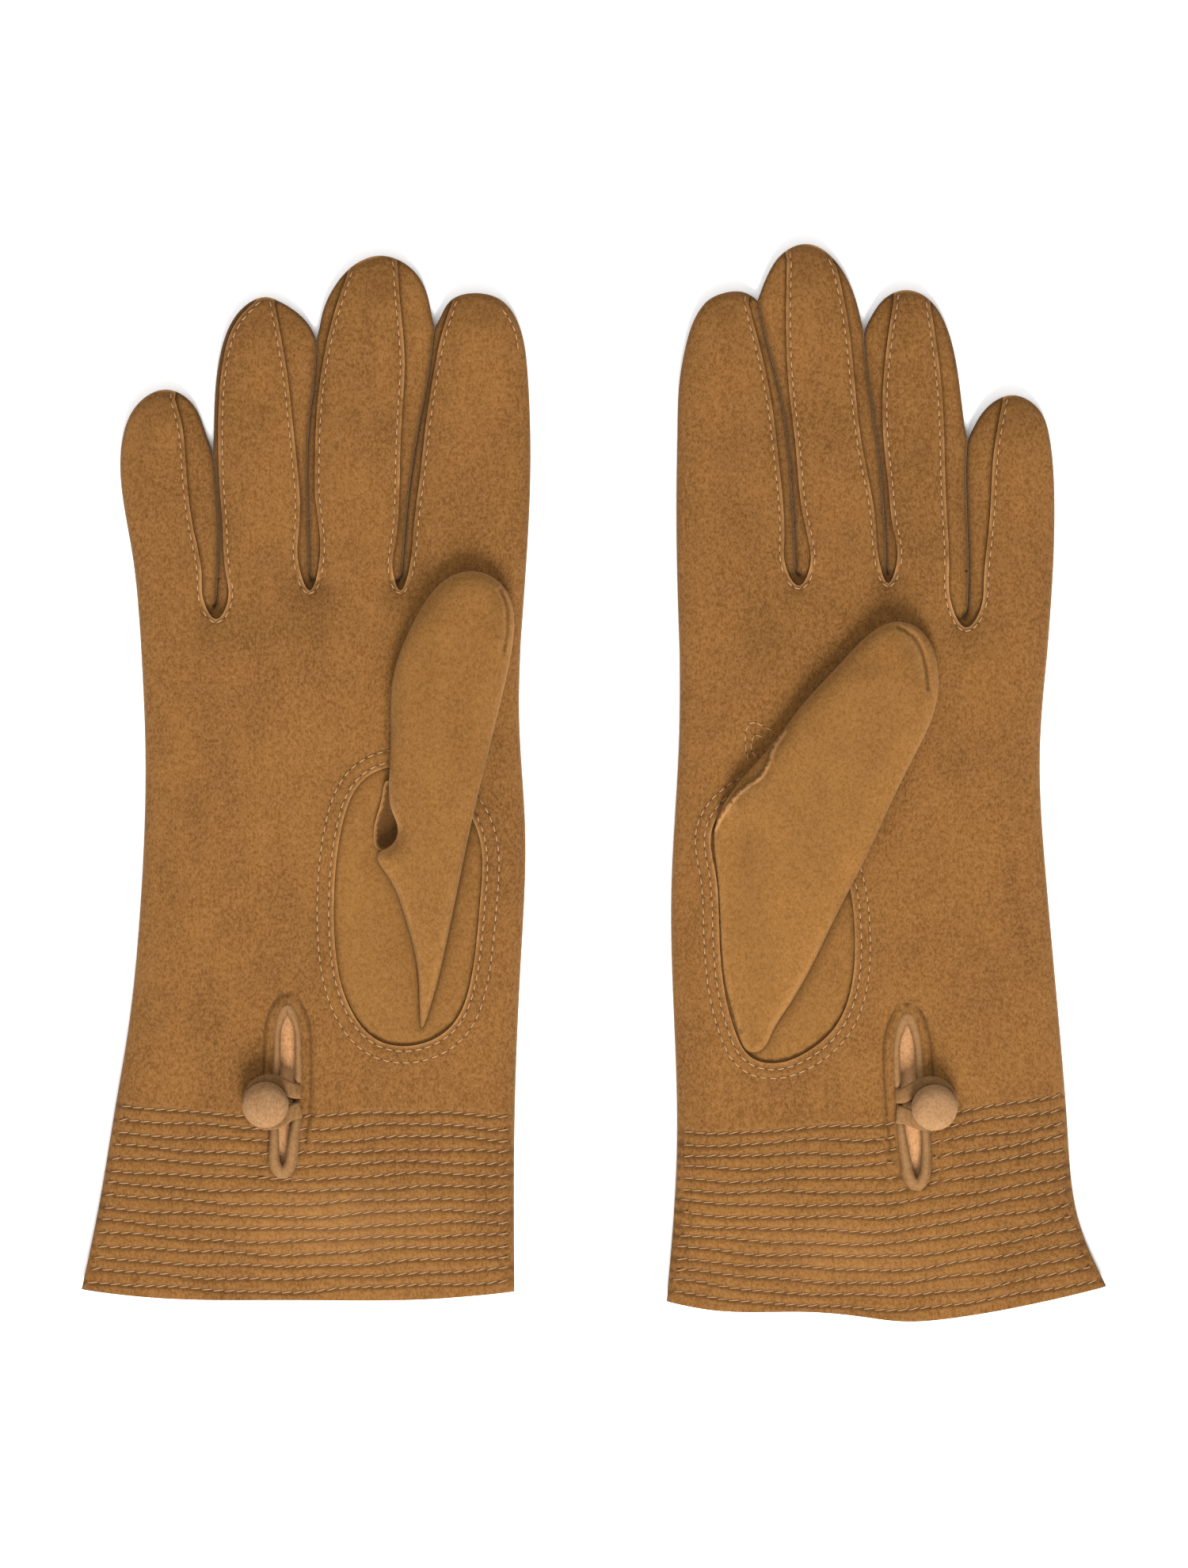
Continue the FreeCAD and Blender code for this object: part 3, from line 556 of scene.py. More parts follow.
def mix_colour(tree, share, a, b):
    node = tree.nodes.new("ShaderNodeMix")
    node.data_type = "RGBA"
    for socket, value in ((node.inputs[0], share), (node.inputs[6], a), (node.inputs[7], b)):
        if isinstance(value, (int, float)):
            socket.default_value = value
        elif isinstance(value, tuple):
            socket.default_value = (*value, 1)
        else:
            tree.links.new(value, socket)
    return node.outputs[2]


def attribute(tree, name):
    node = tree.nodes.new("ShaderNodeAttribute")
    node.attribute_name = name
    return node.outputs["Fac"]


def ramp(tree, value, low, high):
    node = tree.nodes.new("ShaderNodeMapRange")
    set_inputs(node, {"From Min": low, "From Max": high})
    tree.links.new(value, node.inputs["Value"])
    return node.outputs["Result"]


def add_bump(tree, shader, height, strength, depth):
    bump = tree.nodes.new("ShaderNodeBump")
    set_inputs(bump, {"Strength": strength, "Distance": depth})
    tree.links.new(height, bump.inputs["Height"])
    tree.links.new(bump.outputs["Normal"], shader.inputs["Normal"])


def suede(name, dark, middle, light, edge, nap=1.0, fine=1.0):
    """Brushed suede: drifting patches of raised and flattened nap, short fibres, lighter cut and worn
    edges, painted highlights and painted shade.
    """
    material, tree, shader = nodes_for(name)
    coords = tree.nodes.new("ShaderNodeTexCoord").outputs["Object"]
    broad = noise_node(tree, coords, 38, 3.0, 0.55, (1.0, 0.7, 1.0))
    patch = noise_node(tree, coords, 150, 4.0, 0.6, (1.0, 0.45, 1.0))
    fibre = noise_node(tree, coords, 2400, 2.0, 0.6, (1.0, 0.6, 1.0))
    fleck = noise_node(tree, coords, 1100, 3.0, 0.7, (1.0, 0.8, 1.0))
    drift = math_node(tree, "ADD", math_node(tree, "MULTIPLY", broad, 0.55),
                      math_node(tree, "MULTIPLY", patch, 0.45))
    colour = mix_colour(tree, ramp(tree, drift, 0.38, 0.62), dark, middle)
    grain = math_node(tree, "ADD", math_node(tree, "MULTIPLY", fibre, 0.5),
                      math_node(tree, "MULTIPLY", fleck, 0.5))
    lighter = math_node(tree, "MULTIPLY", ramp(tree, grain, 0.42, 0.72), 0.55 * fine)
    colour = mix_colour(tree, lighter, colour, light)
    darker = math_node(tree, "MULTIPLY", ramp(tree, grain, 0.50, 0.30), 0.55 * fine)
    colour = mix_colour(tree, darker, colour, tuple(0.55 * c for c in dark))
    # painted shade in grooves, seam lines, stitch rows, hollows and along the fingers' sides, and
    # darker patches: mixed towards a deep brown
    painted_shade_and_patches = math_node(tree, "MULTIPLY", attribute(tree, "painted_shade_and_patches"), 0.85)
    colour = mix_colour(tree, painted_shade_and_patches, colour, tuple(0.42 * c for c in dark))
    # the edge value mixes in a lighter tan: real wear on cut and rubbed edges, and painted highlights
    # on fingertip lips, ridges, rims and the binding's crest
    worn_and_highlit = math_node(tree, "MULTIPLY", attribute(tree, "edge"), 0.75)
    colour = mix_colour(tree, worn_and_highlit, colour, edge)
    tree.links.new(colour, shader.inputs["Base Color"])
    set_inputs(shader, {"Roughness": 0.95, "Specular IOR Level": 0.15,
                        "Sheen Weight": 0.12 * nap, "Sheen Roughness": 0.45,
                        "Sheen Tint": (0.95, 0.62, 0.32, 1)})
    height = math_node(tree, "ADD", grain, math_node(tree, "MULTIPLY", patch, 0.8))
    add_bump(tree, shader, height, 0.5, 0.00035)
    return material


def plain(name, colour, roughness, metallic=0.0, scale=1500, depth=0.0001, spread=0.25):
    """A small part's finish, with fine variation of its colour and surface."""
    material, tree, shader = nodes_for(name)
    coords = tree.nodes.new("ShaderNodeTexCoord").outputs["Object"]
    grain = noise_node(tree, coords, scale, 3.0, 0.6)
    dark = tuple(c * (1 - spread) for c in colour)
    tree.links.new(mix_colour(tree, ramp(tree, grain, 0.35, 0.65), dark, colour),
                   shader.inputs["Base Color"])
    set_inputs(shader, {"Roughness": roughness, "Metallic": metallic})
    add_bump(tree, shader, grain, 0.4, depth)
    return material


# the lighter tan of cut and worn edges, also used for painted highlights
EDGE_AND_HIGHLIGHT_TAN = (0.33, 0.165, 0.060)
SUEDE = suede("suede", (0.097, 0.0378, 0.0062), (0.134, 0.0550, 0.0102),
              (0.240, 0.119, 0.041), EDGE_AND_HIGHLIGHT_TAN)
SMOOTHER = suede("suede_smoother", (0.120, 0.0500, 0.0090), (0.149, 0.0640, 0.0124),
                 (0.245, 0.122, 0.043), EDGE_AND_HIGHLIGHT_TAN, 0.8, 0.8)
BINDING = suede("binding_suede", (0.102, 0.046, 0.0135), (0.132, 0.062, 0.0195),
                (0.215, 0.118, 0.050), (0.25, 0.135, 0.055), 1.0, 0.9)
BUTTON = suede("button_suede", (0.168, 0.085, 0.033), (0.206, 0.108, 0.0455),
               (0.275, 0.165, 0.088), (0.26, 0.148, 0.072), 1.2, 0.9)
INNER = suede("inner_skin", (0.30, 0.140, 0.052), (0.385, 0.190, 0.078), (0.50, 0.285, 0.145),
              (0.50, 0.27, 0.12), 0.4, 0.9)
CUT = suede("cut_edge", (0.185, 0.085, 0.029), (0.235, 0.112, 0.040), (0.31, 0.165, 0.066),
            EDGE_AND_HIGHLIGHT_TAN, 0.6, 1.0)
THREAD = plain("thread", (0.33, 0.175, 0.070), 0.75, 0.0, 4000, 0.00005, 0.3)
THREAD_CUFF = plain("cuff_thread", (0.235, 0.126, 0.052), 0.8, 0.0, 4000, 0.00005, 0.3)
# near-black marks that paint the shade inside needle holes
NEEDLE_HOLE_SHADE = plain("needle_hole_shade", (0.045, 0.018, 0.006), 0.9, 0.0, 4000, 0.00005, 0.3)
METAL = plain("button_metal", (0.75, 0.62, 0.38), 0.35, 1.0, 900, 0.00003, 0.15)
LEATHERS = [SUEDE, INNER, CUT]
SMOOTH_LEATHERS = [SMOOTHER, INNER, CUT]


# ---------------------------------------------------------------- one glove
class Glove:
    """A glove's plan curves, surfaces and pieces."""

    def __init__(self, data):
        self.data = data
        self.name = data["name"]
        self.side = data["side"]
        low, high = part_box(f"{self.name}_palm_shell")
        edge_x = (low.x if self.side > 0 else high.x) / MM
        self.middle = edge_x - self.side * data["edge_across"]
        self.hem_y = low.y / MM - data["hem_low"]
        self.lay_out()
        self.triangulate()
        self.raise_surfaces()

    # -- plan
    def at(self, points):
        p = np.asarray(points, float).reshape(-1, 2)
        return np.column_stack([self.middle + self.side * p[:, 0], self.hem_y + p[:, 1]])

    def along(self, points):
        return points[:, 1] - self.hem_y

    def across(self, points):
        return self.side * (points[:, 0] - self.middle)

    def lay_out(self):
        """The outline, the seams, the thumb hole and the slit, in the row frame."""
        d = self.data
        self.finger_lines()
        loop = [spline(d["little_edge"], 1.4)]
        crotches = [(None, FINGER_BASE)] + list(d["crotches"]) + [(None, FINGER_BASE)]
        for number, finger in enumerate(FINGERS):
            c = self.finger_line[finger]
            tip = int(np.argmax(c[:, 1]))
            start, end = crotches[number][1] + 0.6, crotches[number + 1][1] + 0.6
            keep = [i for i in range(len(c)) if (c[i, 1] > start if i < tip else c[i, 1] > end)]
            loop.append(c[keep])
            if number < 3:
                loop.append(np.array([d["crotches"][number]]))
        loop.append(spline(d["index_edge"], 1.4)[::-1])
        self.sides = self.at(np.vstack(loop))
        keep = np.concatenate([[True], np.linalg.norm(np.diff(self.sides, axis=0), axis=1) > 0.2])
        self.sides = self.sides[keep]
        self.hem = self.at(spline(d["hem"], 1.6)[::-1])
        self.outline = np.vstack([self.sides, self.hem[1:-1]])
        self.seams = []
        for points in d["seams"]:
            line = self.at(spline(points, 1.2))
            for end in (0, -1):
                nearest = np.argmin(np.linalg.norm(self.sides - line[end], axis=1))
                line[end] = self.sides[nearest]
            self.seams.append(self.push_in(line, 0.7))
        self.strips = [np.vstack([line, line[-1] + [0, 8], line[0] + [0, 8]])
                       for line in self.seams]
        self.hole = self.at(spline(d["hole"], 1.1, closed=True))
        self.slit = self.at(spline(d["binding"], 1.2, closed=True)[:, :2])
        self.thumb_line = self.at(spline(d["thumb"], 1.0, closed=True))
        turn = math.radians(d["thumb_turn_deg"])
        self.ahead = np.array([self.side * math.sin(turn), math.cos(turn)])
        self.thumb_centre = self.at(d["thumb_centre"])[0]

    def finger_lines(self):
        """Each finger's outline, moved so that neighbours nearly touch below where they part."""
        lines = {finger: spline(self.data[finger], 1.0) for finger in FINGERS}
        for left, right in zip(FINGERS, FINGERS[1:]):
            a, b = lines[left], lines[right]
            tip_a, tip_b = int(np.argmax(a[:, 1])), int(np.argmax(b[:, 1]))
            edge_a, edge_b = a[tip_a:][::-1].copy(), b[:tip_b + 1].copy()
            for line, rows, sign in ((a, slice(tip_a, None), -1), (b, slice(0, tip_b + 1), 1)):
                y = line[rows, 1]
                x_a = np.interp(y, edge_a[:, 1], edge_a[:, 0])
                x_b = np.interp(y, edge_b[:, 1], edge_b[:, 0])
                gap = x_b - x_a
                half = gap / 2 - 0.35 * np.exp(-np.maximum(0, gap - 0.7) ** 2)
                half = np.maximum(0.015, half)
                shared = y < min(edge_a[-1, 1], edge_b[-1, 1]) - 1.0
                moved = (x_a + x_b) / 2 + sign * half
                line[rows, 0] = np.where(shared, moved, line[rows, 0])
        self.finger_line = lines

    def push_in(self, line, least):
        """The line with its inner points at least that far from the glove's sides."""
        for _ in range(12):
            near = distance(line, self.sides)
            near[[0, -1]] = least
            for i in np.nonzero(near < least)[0]:
                best, best_d = line[i], near[i]
                for turn in np.linspace(0, 2 * math.pi, 16, endpoint=False):
                    trial = line[i] + 0.15 * np.array([math.cos(turn), math.sin(turn)])
                    gap = distance(trial[None], self.sides)[0]
                    if gap > best_d and inside(trial[None], self.outline)[0]:
                        best, best_d = trial, gap
                line[i] = best
        return line

    def row_line(self, number):
        """A stitched row of the cuff, across the glove. Row 0 is the one at the hem."""
        d = self.data
        x = np.linspace(-58, 47, 90)
        top, bottom = np.array(d["row_top"]), np.array(d["row_bottom"])
        high = np.interp(x, top[:, 0], top[:, 1])
        low = np.interp(x, bottom[:, 0], bottom[:, 1])
        kernel = np.ones(9) / 9
        high, low = (np.convolve(np.pad(v, 4, mode="edge"), kernel, mode="valid")
                     for v in (high, low))
        share = number / (ROWS - 1)
        wobble = 0.22 * np.sin(x / 7.0 + number * 1.9) + 0.15 * np.sin(x / 3.1 + number * 0.8)
        return np.column_stack([x, low + (high - low) * share + wobble])

    def row_offset(self, across, along):
        """How far each point is past the nearest stitched row, along the glove."""
        best = np.full(len(across), 99.0)
        for number in range(ROWS):
            line = self.row_line(number)
            away = along - np.interp(across, line[:, 0], line[:, 1])
            best = np.where(np.abs(away) < np.abs(best), away, best)
        return best

    def triangulate(self):
        """One plan mesh for the palm side and the back, with every edge that they need."""
        d = self.data
        lines = [(line, False) for line in self.seams]
        lines += [(self.hole, True), (self.slit, True)]
        for finger in FINGERS:
            y = d["bend"][finger][0]
            c = self.finger_line[finger]
            row = c[np.abs(c[:, 1] - y) < 1.5][:, 0]
            line = self.at([(row.min() - 0.2, y), (row.max() + 0.2, y)])
            lines.append((resample(line, 1.5), False))
        wanted = []
        out_n = normals_of(self.sides)
        for step in (0.28, 0.75, 1.5, 2.5):
            for sign in (1, -1):
                ring = self.sides + sign * step * out_n
                wanted.append((ring, 0.23 if step < 0.5 else 0.4, step * 0.9))
        rows = d["hole_rows"]
        hole_steps = (-2.4, -1.1, 0.6, rows[0], 2.2, rows[1] - 0.6, rows[1], rows[1] + 0.6)
        for line, steps, closed in ([(s, (-1.7, -0.9, 0.9, 1.7), False) for s in self.seams]
                                    + [(self.hole, hole_steps, True),
                                       (self.slit, (0.9, 1.8, 2.4, 2.9, 3.4, 4.2), True)]):
            n = outward_normals(line) if closed else normals_of(line)
            for step in steps:
                wanted.append((line + n * step, 0.38, 0.3))
        thumb_n = normals_of(self.thumb_line, True)
        for step in (-0.6, 0.0, 0.6, 1.3):
            wanted.append((self.thumb_line + thumb_n * step, 0.4, 0.3))
        x = np.arange(-57, 47, 1.7)
        for number in range(ROWS):
            line = self.row_line(number)
            for step in (-0.85, -0.38, 0.0, 0.38, 0.85, 1.42):
                rows = np.column_stack([x, np.interp(x, line[:, 0], line[:, 1]) + step])
                wanted.append((self.at(rows), 0.3, 0.35))
        wanted.append((self.at(staggered((-60, -6), (50, 250), 1.9, 1.65)), 1.15, 1.0))
        self.plan, self.faces = fill(self.outline, lines, wanted)
        centre = self.plan[self.faces].mean(1)
        self.in_strip = [inside(centre, strip) for strip in self.strips]
        self.any_strip = np.any(self.in_strip, axis=0)
        self.in_hole = inside(centre, self.hole)
        self.in_slit = inside(centre, self.slit)
        self.finger_of = np.full(len(centre), -1)
        for number, finger in enumerate(FINGERS):
            whole = self.at(self.finger_line[finger])
            here = inside(centre, whole) & (self.along(centre) > d["bend"][finger][0])
            self.finger_of[here] = number

    # -- heights
    def raise_surfaces(self):
        """The panels' surfaces, palm side and back, and the lower ones of what they are sewn to."""
        p = self.plan
        along, across = self.along(p), self.across(p)
        self.to_side = distance(p, self.sides)
        on_side = self.to_side < 1e-3
        to_hole = distance(p, ringed(self.hole))
        in_hole = inside(p, self.hole)
        to_slit = distance(p, ringed(self.slit))
        to_seam = np.min([distance(p, line) for line in self.seams], axis=0)
        crown = np.interp(along, (-4, 4, 22, 42, 60, 150, 172, 240),
                          (3.3, 4.0, 6.0, 7.0, 7.3, 7.2, 6.5, 5.4))
        reach = np.interp(along, (0, 40, 150, 172), (9, 13, 12, 9.5))
        swell = dome(self.to_side / reach)
        uneven = 0.30 * waves(p, 33, 1.7) + 0.16 * waves(p, 14, 4.1) + 0.06 * waves(p, 6, 8.8)
        to_thumb = distance(p, ringed(self.thumb_line))
        uneven *= smooth(np.where(inside(p, self.thumb_line), 0, to_thumb), 0, 8)
        top = RIM + (crown - RIM) * swell + uneven * smooth(self.to_side, 0.5, 9)
        hem_wave = 0.55 * np.sin(across / 11.0 + self.side) * smooth(-along, -16, 2)
        top += hem_wave * smooth(self.to_side, 1, 12)
        row = self.row_offset(across, along)
        in_rows = smooth(-row, -3, -2.2) * smooth(row, -3, -2.2)
        in_slit = inside(p, self.slit)
        groove = bell(row, 0.42) * smooth(to_slit, 0.9, 1.6) * ~in_slit
        soft = smooth(self.to_side, 0.2, 1.6)
        top += (0.12 * in_rows * (np.abs(row) < 2.5) - 0.34 * groove) * soft
        rows = self.data["hole_rows"]
        band = smooth(-to_hole, -rows[1] - 0.6, -rows[1] + 0.3) * ~in_hole
        top += 0.28 * band
        holes = np.zeros(len(p))
        for step in rows:
            holes += bell(to_hole - step, 0.42) * ~in_hole
        top -= 0.22 * holes
        slit_middle = self.data["binding"][8][0] + 0.10 * (along - 28)
        margin = bell(to_slit - 2.9, 0.42) * ~in_slit
        margin *= np.where(across > slit_middle, smooth(along, 32, 36), smooth(along, 45, 51))
        beside = bell(to_slit - 1.25, 0.35) * ~in_slit
        top += -0.3 * margin + 0.35 * smooth(-to_slit, -2.9, -1.9) * smooth(along, 40, 48)
        seam_side = bell(to_seam - 1.05, 0.45)
        in_strip = np.any([inside(p, strip) for strip in self.strips], axis=0)
        top += (0.22 * smooth(-to_seam, -2.2, -1.2) - 0.2 * seam_side) * ~in_strip * soft
        lower = STEP * np.minimum(1, self.to_side / 1.4)
        plate = 0.72 - 0.55 * dome(to_hole / 9.0)
        top_lower = top - np.where(in_hole, plate, lower)
        low = RIM * (1 - dome(self.to_side / 5.0)) + 0.12 + 0.12 * (waves(p, 22, 6.3) + 1)
        low += 0.30 * groove * smooth(self.to_side, 1, 3)
        low = np.where(on_side, top, low)
        low_lower = np.where(on_side, top, low + 0.5 * np.minimum(1, self.to_side / 1.4))
        self.tops = {"panel": top, "sewn": top_lower}
        self.lows = {"panel": low, "sewn": low_lower}
        # the back's points follow the palm side's, and share those on the sides
        count = len(p)
        back_index = np.where(on_side, np.arange(count), np.arange(count) + count)
        self.back_faces = back_index[self.faces[:, ::-1]]
        both = np.vstack([self.faces, self.back_faces])
        self.surface, self.normal = {}, {}
        for kind in ("panel", "sewn"):
            points = np.vstack([np.column_stack([p, self.tops[kind]]),
                                np.column_stack([p, self.lows[kind]])])
            self.surface[kind] = points
            self.normal[kind] = vertex_normals(points, both)
        patchy = smooth(waves(p, 5, 9.4), -0.25, 0.35)
        fold = self.data["bend"]["middle"][0]
        crotch = smooth(-along, -(fold + 6), -fold)
        # lighter edge values: real wear along the seams and round the thumb hole, lighter worn
        # patches, and painted highlights on the fingertip lips
        wear_and_highlight = bell(to_seam, 0.34) * np.maximum(0.12 + 0.45 * patchy, 0.9 * crotch)
        wear_and_highlight += bell(to_hole, 0.38) * (0.45 + 0.35 * patchy)
        # painted shade in the cuff's row grooves, along the slit's margin, beside the binding, in the
        # grooves of the thumb hole's stitch rows and beside the seams
        dark = 0.95 * groove + 0.8 * margin + 0.7 * beside + 0.35 * holes + 0.3 * seam_side * ~in_strip
        # each fingertip lip gets a painted highlight on its rim and a painted shadow line just inside
        # it
        for x, y in self.data["lips"]:
            near = np.exp(-(np.hypot(across - x, along - y) / 3.0) ** 4)
            wear_and_highlight += 0.9 * bell(self.to_side - 0.1, 0.45) * near
            dark += 0.5 * bell(self.to_side - 1.1, 0.35) * near
        for x, y, wide, long, amount in self.data["patches"]:
            patch = spot(across - x, along - y, wide, long)
            dark += 0.55 * max(0, amount) * patch
            wear_and_highlight += max(0, -amount) * patch
        # painted shade along the fingers' sides
        dark += 0.35 * bell(self.to_side, 0.7) * smooth(along, FINGER_BASE, 175)
        # painted shade on the lower pieces: along the seams and the thumb hole's edge, near the
        # fingers' sides and along the thumb's outline
        painted_shade_sewn = 0.9 * bell(to_seam, 0.5) + 0.75 * bell(to_hole, 0.6)
        painted_shade_sewn += 0.7 * bell(self.to_side, 1.0) * in_strip
        painted_shade_sewn += in_hole * (0.85 * bell(to_thumb, 0.55) + 0.25 * np.exp(-to_thumb / 1.6))
        wear_and_highlight, dark, painted_shade_sewn = (doubled(np.clip(v, 0, 1)) for v in (wear_and_highlight, dark, painted_shade_sewn))
        self.values = {"panel": {"edge": wear_and_highlight, "painted_shade_and_patches": dark},
                       "sewn": {"edge": 0 * wear_and_highlight, "painted_shade_and_patches": painted_shade_sewn}}
        self.tree = BVHTree.FromPolygons(
            [Vector(q) for q in self.surface["panel"]], both.tolist())

    # -- pieces
    def piece(self, name, kind, front, back, materials, thickness=SKIN):
        faces = np.vstack([self.faces[front], self.back_faces[back]])
        return skin(f"{self.name}_{name}", self.surface[kind], self.normal[kind], faces, thickness,
                    materials, self.values[kind])

    def bend(self, obj, finger):
        """Bakes the piece's placement into its mesh."""
        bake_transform(obj)

    def finish(self, obj, nodes):
        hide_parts(*[f"{self.name}_{n}" for n in nodes])
        return obj

    def ride(self, obj, body):
        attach(obj, f"{self.name}_{body}")
        return obj

    def make_hand(self):
        palm = self.finger_of < 0
        front = palm & ~self.any_strip & ~self.in_hole & ~self.in_slit
        back = palm & ~self.any_strip
        hand = self.piece("palm", "panel", front, back, LEATHERS)
        self.finish(self.ride(hand, "palm"), ["palm_shell"])
        quirks = self.piece("quirks", "sewn", palm & self.any_strip, palm & self.any_strip,
                            LEATHERS)
        self.finish(self.ride(quirks, "palm"), ["finger_quirks"])
        none = np.zeros(len(self.faces), bool)
        gusset = self.piece("gusset", "sewn", self.in_hole, none, SMOOTH_LEATHERS)
        self.finish(self.ride(gusset, "palm"), ["thumb_base"])
        for number, finger in enumerate(FINGERS):
            here = self.finger_of == number
            panel = self.piece(f"{finger}_finger", "panel", here & ~self.any_strip,
                               here & ~self.any_strip, LEATHERS)
            self.bend(panel, finger)
            self.finish(panel, [f"{finger}_sleeve"])
            for side_name, seam in (("little_side", number - 1), ("index_side", number)):
                if not 0 <= seam < 3:
                    continue
                strip = here & self.in_strip[seam]
                piece = self.piece(f"{finger}_fourchette_{side_name}", "sewn", strip, strip,
                                   LEATHERS)
                self.bend(piece, finger)
                self.finish(piece, [f"{finger}_fourchette_{side_name}"])

    def make_thumb(self):
        """The thumb, one folded leaf that rises from the gusset and lies over the palm."""
        d = self.data
        loop = self.thumb_line
        n = normals_of(loop, True)
        wanted = []
        for step in (0.3, 0.8, 1.5, 2.4, 3.6):
            for sign in (1, -1):
                wanted.append((loop + sign * step * n, 0.25 if step < 0.5 else 0.5, step * 0.9))
        seams = [self.at(spline(d["thumb_seam"], 0.9))]
        if d["thumb_shelf"]:
            seams.append(self.at(spline(d["thumb_shelf"][:8], 0.9)))
        for seam in seams:
            side = normals_of(seam)
            for step in (0.0, -0.35, 0.35, -0.8, 0.8):
                wanted.append((seam + step * side, 0.25, 0.25))
        wanted.append((staggered(loop.min(0), loop.max(0), 1.6, 1.4), 1.0, 0.9))
        p, faces = fill(loop, [], wanted)
        v = (p - self.thumb_centre) @ self.ahead
        edge = distance(p, ringed(loop))
        thick = np.interp(v, (-40, -34, -26, -14, 0, 20, 52, 66),
                          (0.9, 1.4, 2.7, 4.3, 5.4, 5.9, 5.5, 4.6))
        flush = 1.0
        if d["flush"]:
            flush = 0.1 + 0.9 * smooth(distance(p, self.at(spline(d["flush"], 1.2))), 0, 15)
        thick = thick * flush
        base = np.interp(v, (-42, -30, -8, 5, 70), (6.85, 7.2, 7.45, 7.85, 7.8))
        base = base - 0.35 * (1 - flush) * (v < 8)
        side = base + 0.42 * thick
        round_off = np.interp(v, (-40, -20, 0, 60), (2.6, 5.0, 6.5, 6.0))
        top = side + (base + thick - side) * dome(edge / round_off)
        bottom = side - (side - base) * dome(edge / 3.0)
        across, along = self.across(p), self.along(p)
        for x, y, depth, wide, long in d["thumb_dents"]:
            top -= depth * spot(across - x, along - y, wide, long)
        soft = smooth(edge, 0.3, 4)
        top += soft * (0.28 * waves(p, 19, 2.2) + 0.12 * waves(p, 8, 7.4)) * np.minimum(1, thick / 3)
        to_seam = distance(p, seams[0])
        top -= 0.5 * bell(to_seam, 0.45)
        # painted highlights: along the rim towards the tip, on the ridge beside the tip seam and along
        # the fold near the base
        light = 0.3 * bell(edge - 0.2, 0.5) * smooth(v, 20, 45)
        light += 0.3 * bell(to_seam - 0.75, 0.3)
        light += 0.25 * bell(edge - 0.8, 0.5) * smooth(-v, -5, 15)
        # painted shade in the tip seam; the patches darken spots of the leaf
        dark = 0.9 * bell(to_seam, 0.32)
        for x, y, wide, long, amount in d["thumb_patches"]:
            dark += amount * 0.6 * spot(across - x, along - y, wide, long)
        if d["thumb_shelf"]:
            shelf_line = spline(d["thumb_shelf"][:8], 0.9)
            shelf = inside(p, self.at(np.vstack([shelf_line, d["thumb_shelf"][8:]])))
            to_edge = distance(p, seams[1])
            drop = 0.75 * np.minimum(1, edge / 0.6)
            top -= np.where(shelf, drop * smooth(to_edge, 0.05, 0.35), 0)
            # the raw cut edge is lighter; painted shade on the shelf beside it and in a thin line just
            # beyond it
            light += 1.3 * bell(to_edge - 0.2, 0.42) * ~shelf
            dark += 0.6 * bell(to_edge - 0.4, 0.4) * shelf
            dark += 0.5 * bell(to_edge - 1.0, 0.25) * ~shelf
        else:
            mouth = self.at(spline(d["quirk"], 1.0, closed=True))
            # a painted highlight on the raised rim round the quirk's mouth
            light += 0.9 * bell(edge, 0.5) * bell(distance(p, ringed(mouth)), 1.6)
        on_loop = edge < 1e-3
        bottom = np.where(on_loop, top, bottom)
        count = len(p)
        back = np.where(on_loop, np.arange(count), np.arange(count) + count)
        points = np.vstack([np.column_stack([p, top]), np.column_stack([p, bottom])])
        both = np.vstack([faces, back[faces[:, ::-1]]])
        used, index = np.unique(both, return_inverse=True)
        both = index.reshape(-1, 3)
        points = points[used]
        values = {"edge": np.concatenate([light, 0 * light])[used],
                  "painted_shade_and_patches": np.concatenate([dark, 0 * dark])[used]}
        kinds = {key: np.clip(value, 0, 1) for key, value in values.items()}
        leaf = make_mesh(f"{self.name}_thumb", points, both, [SMOOTHER], attributes=kinds)
        self.bend_thumb(leaf)
        self.finish(leaf, ["thumb_sleeve"])

    def bend_thumb(self, obj):
        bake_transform(obj)

    def make_quirk(self):
        """The small gusset in the thumb's crotch, sunk between the thumb and the palm."""
        loop = self.at(spline(self.data["quirk"], 0.6, closed=True))
        p, faces = fill(loop, [], [(staggered(loop.min(0), loop.max(0), 0.7, 0.6), 0.4, 0.3)])
        edge = distance(p, ringed(loop))
        if self.data["flush"]:
            z = 7.62 + 0 * edge
        else:
            z = 7.95 - 0.5 * dome(edge / 1.8)
        points = np.column_stack([p, z])
        normals = vertex_normals(points, faces)
        # a painted highlight round the rim and painted shade over the sunk middle
        values = {"edge": 0.7 * bell(edge, 0.3), "painted_shade_and_patches": 0.85 * dome(edge / 1.2)}
        piece = skin(f"{self.name}_thumb_quirk", points, normals, faces, 0.25, LEATHERS, values)
        self.finish(self.ride(piece, "palm"), ["thumb_quirk"])

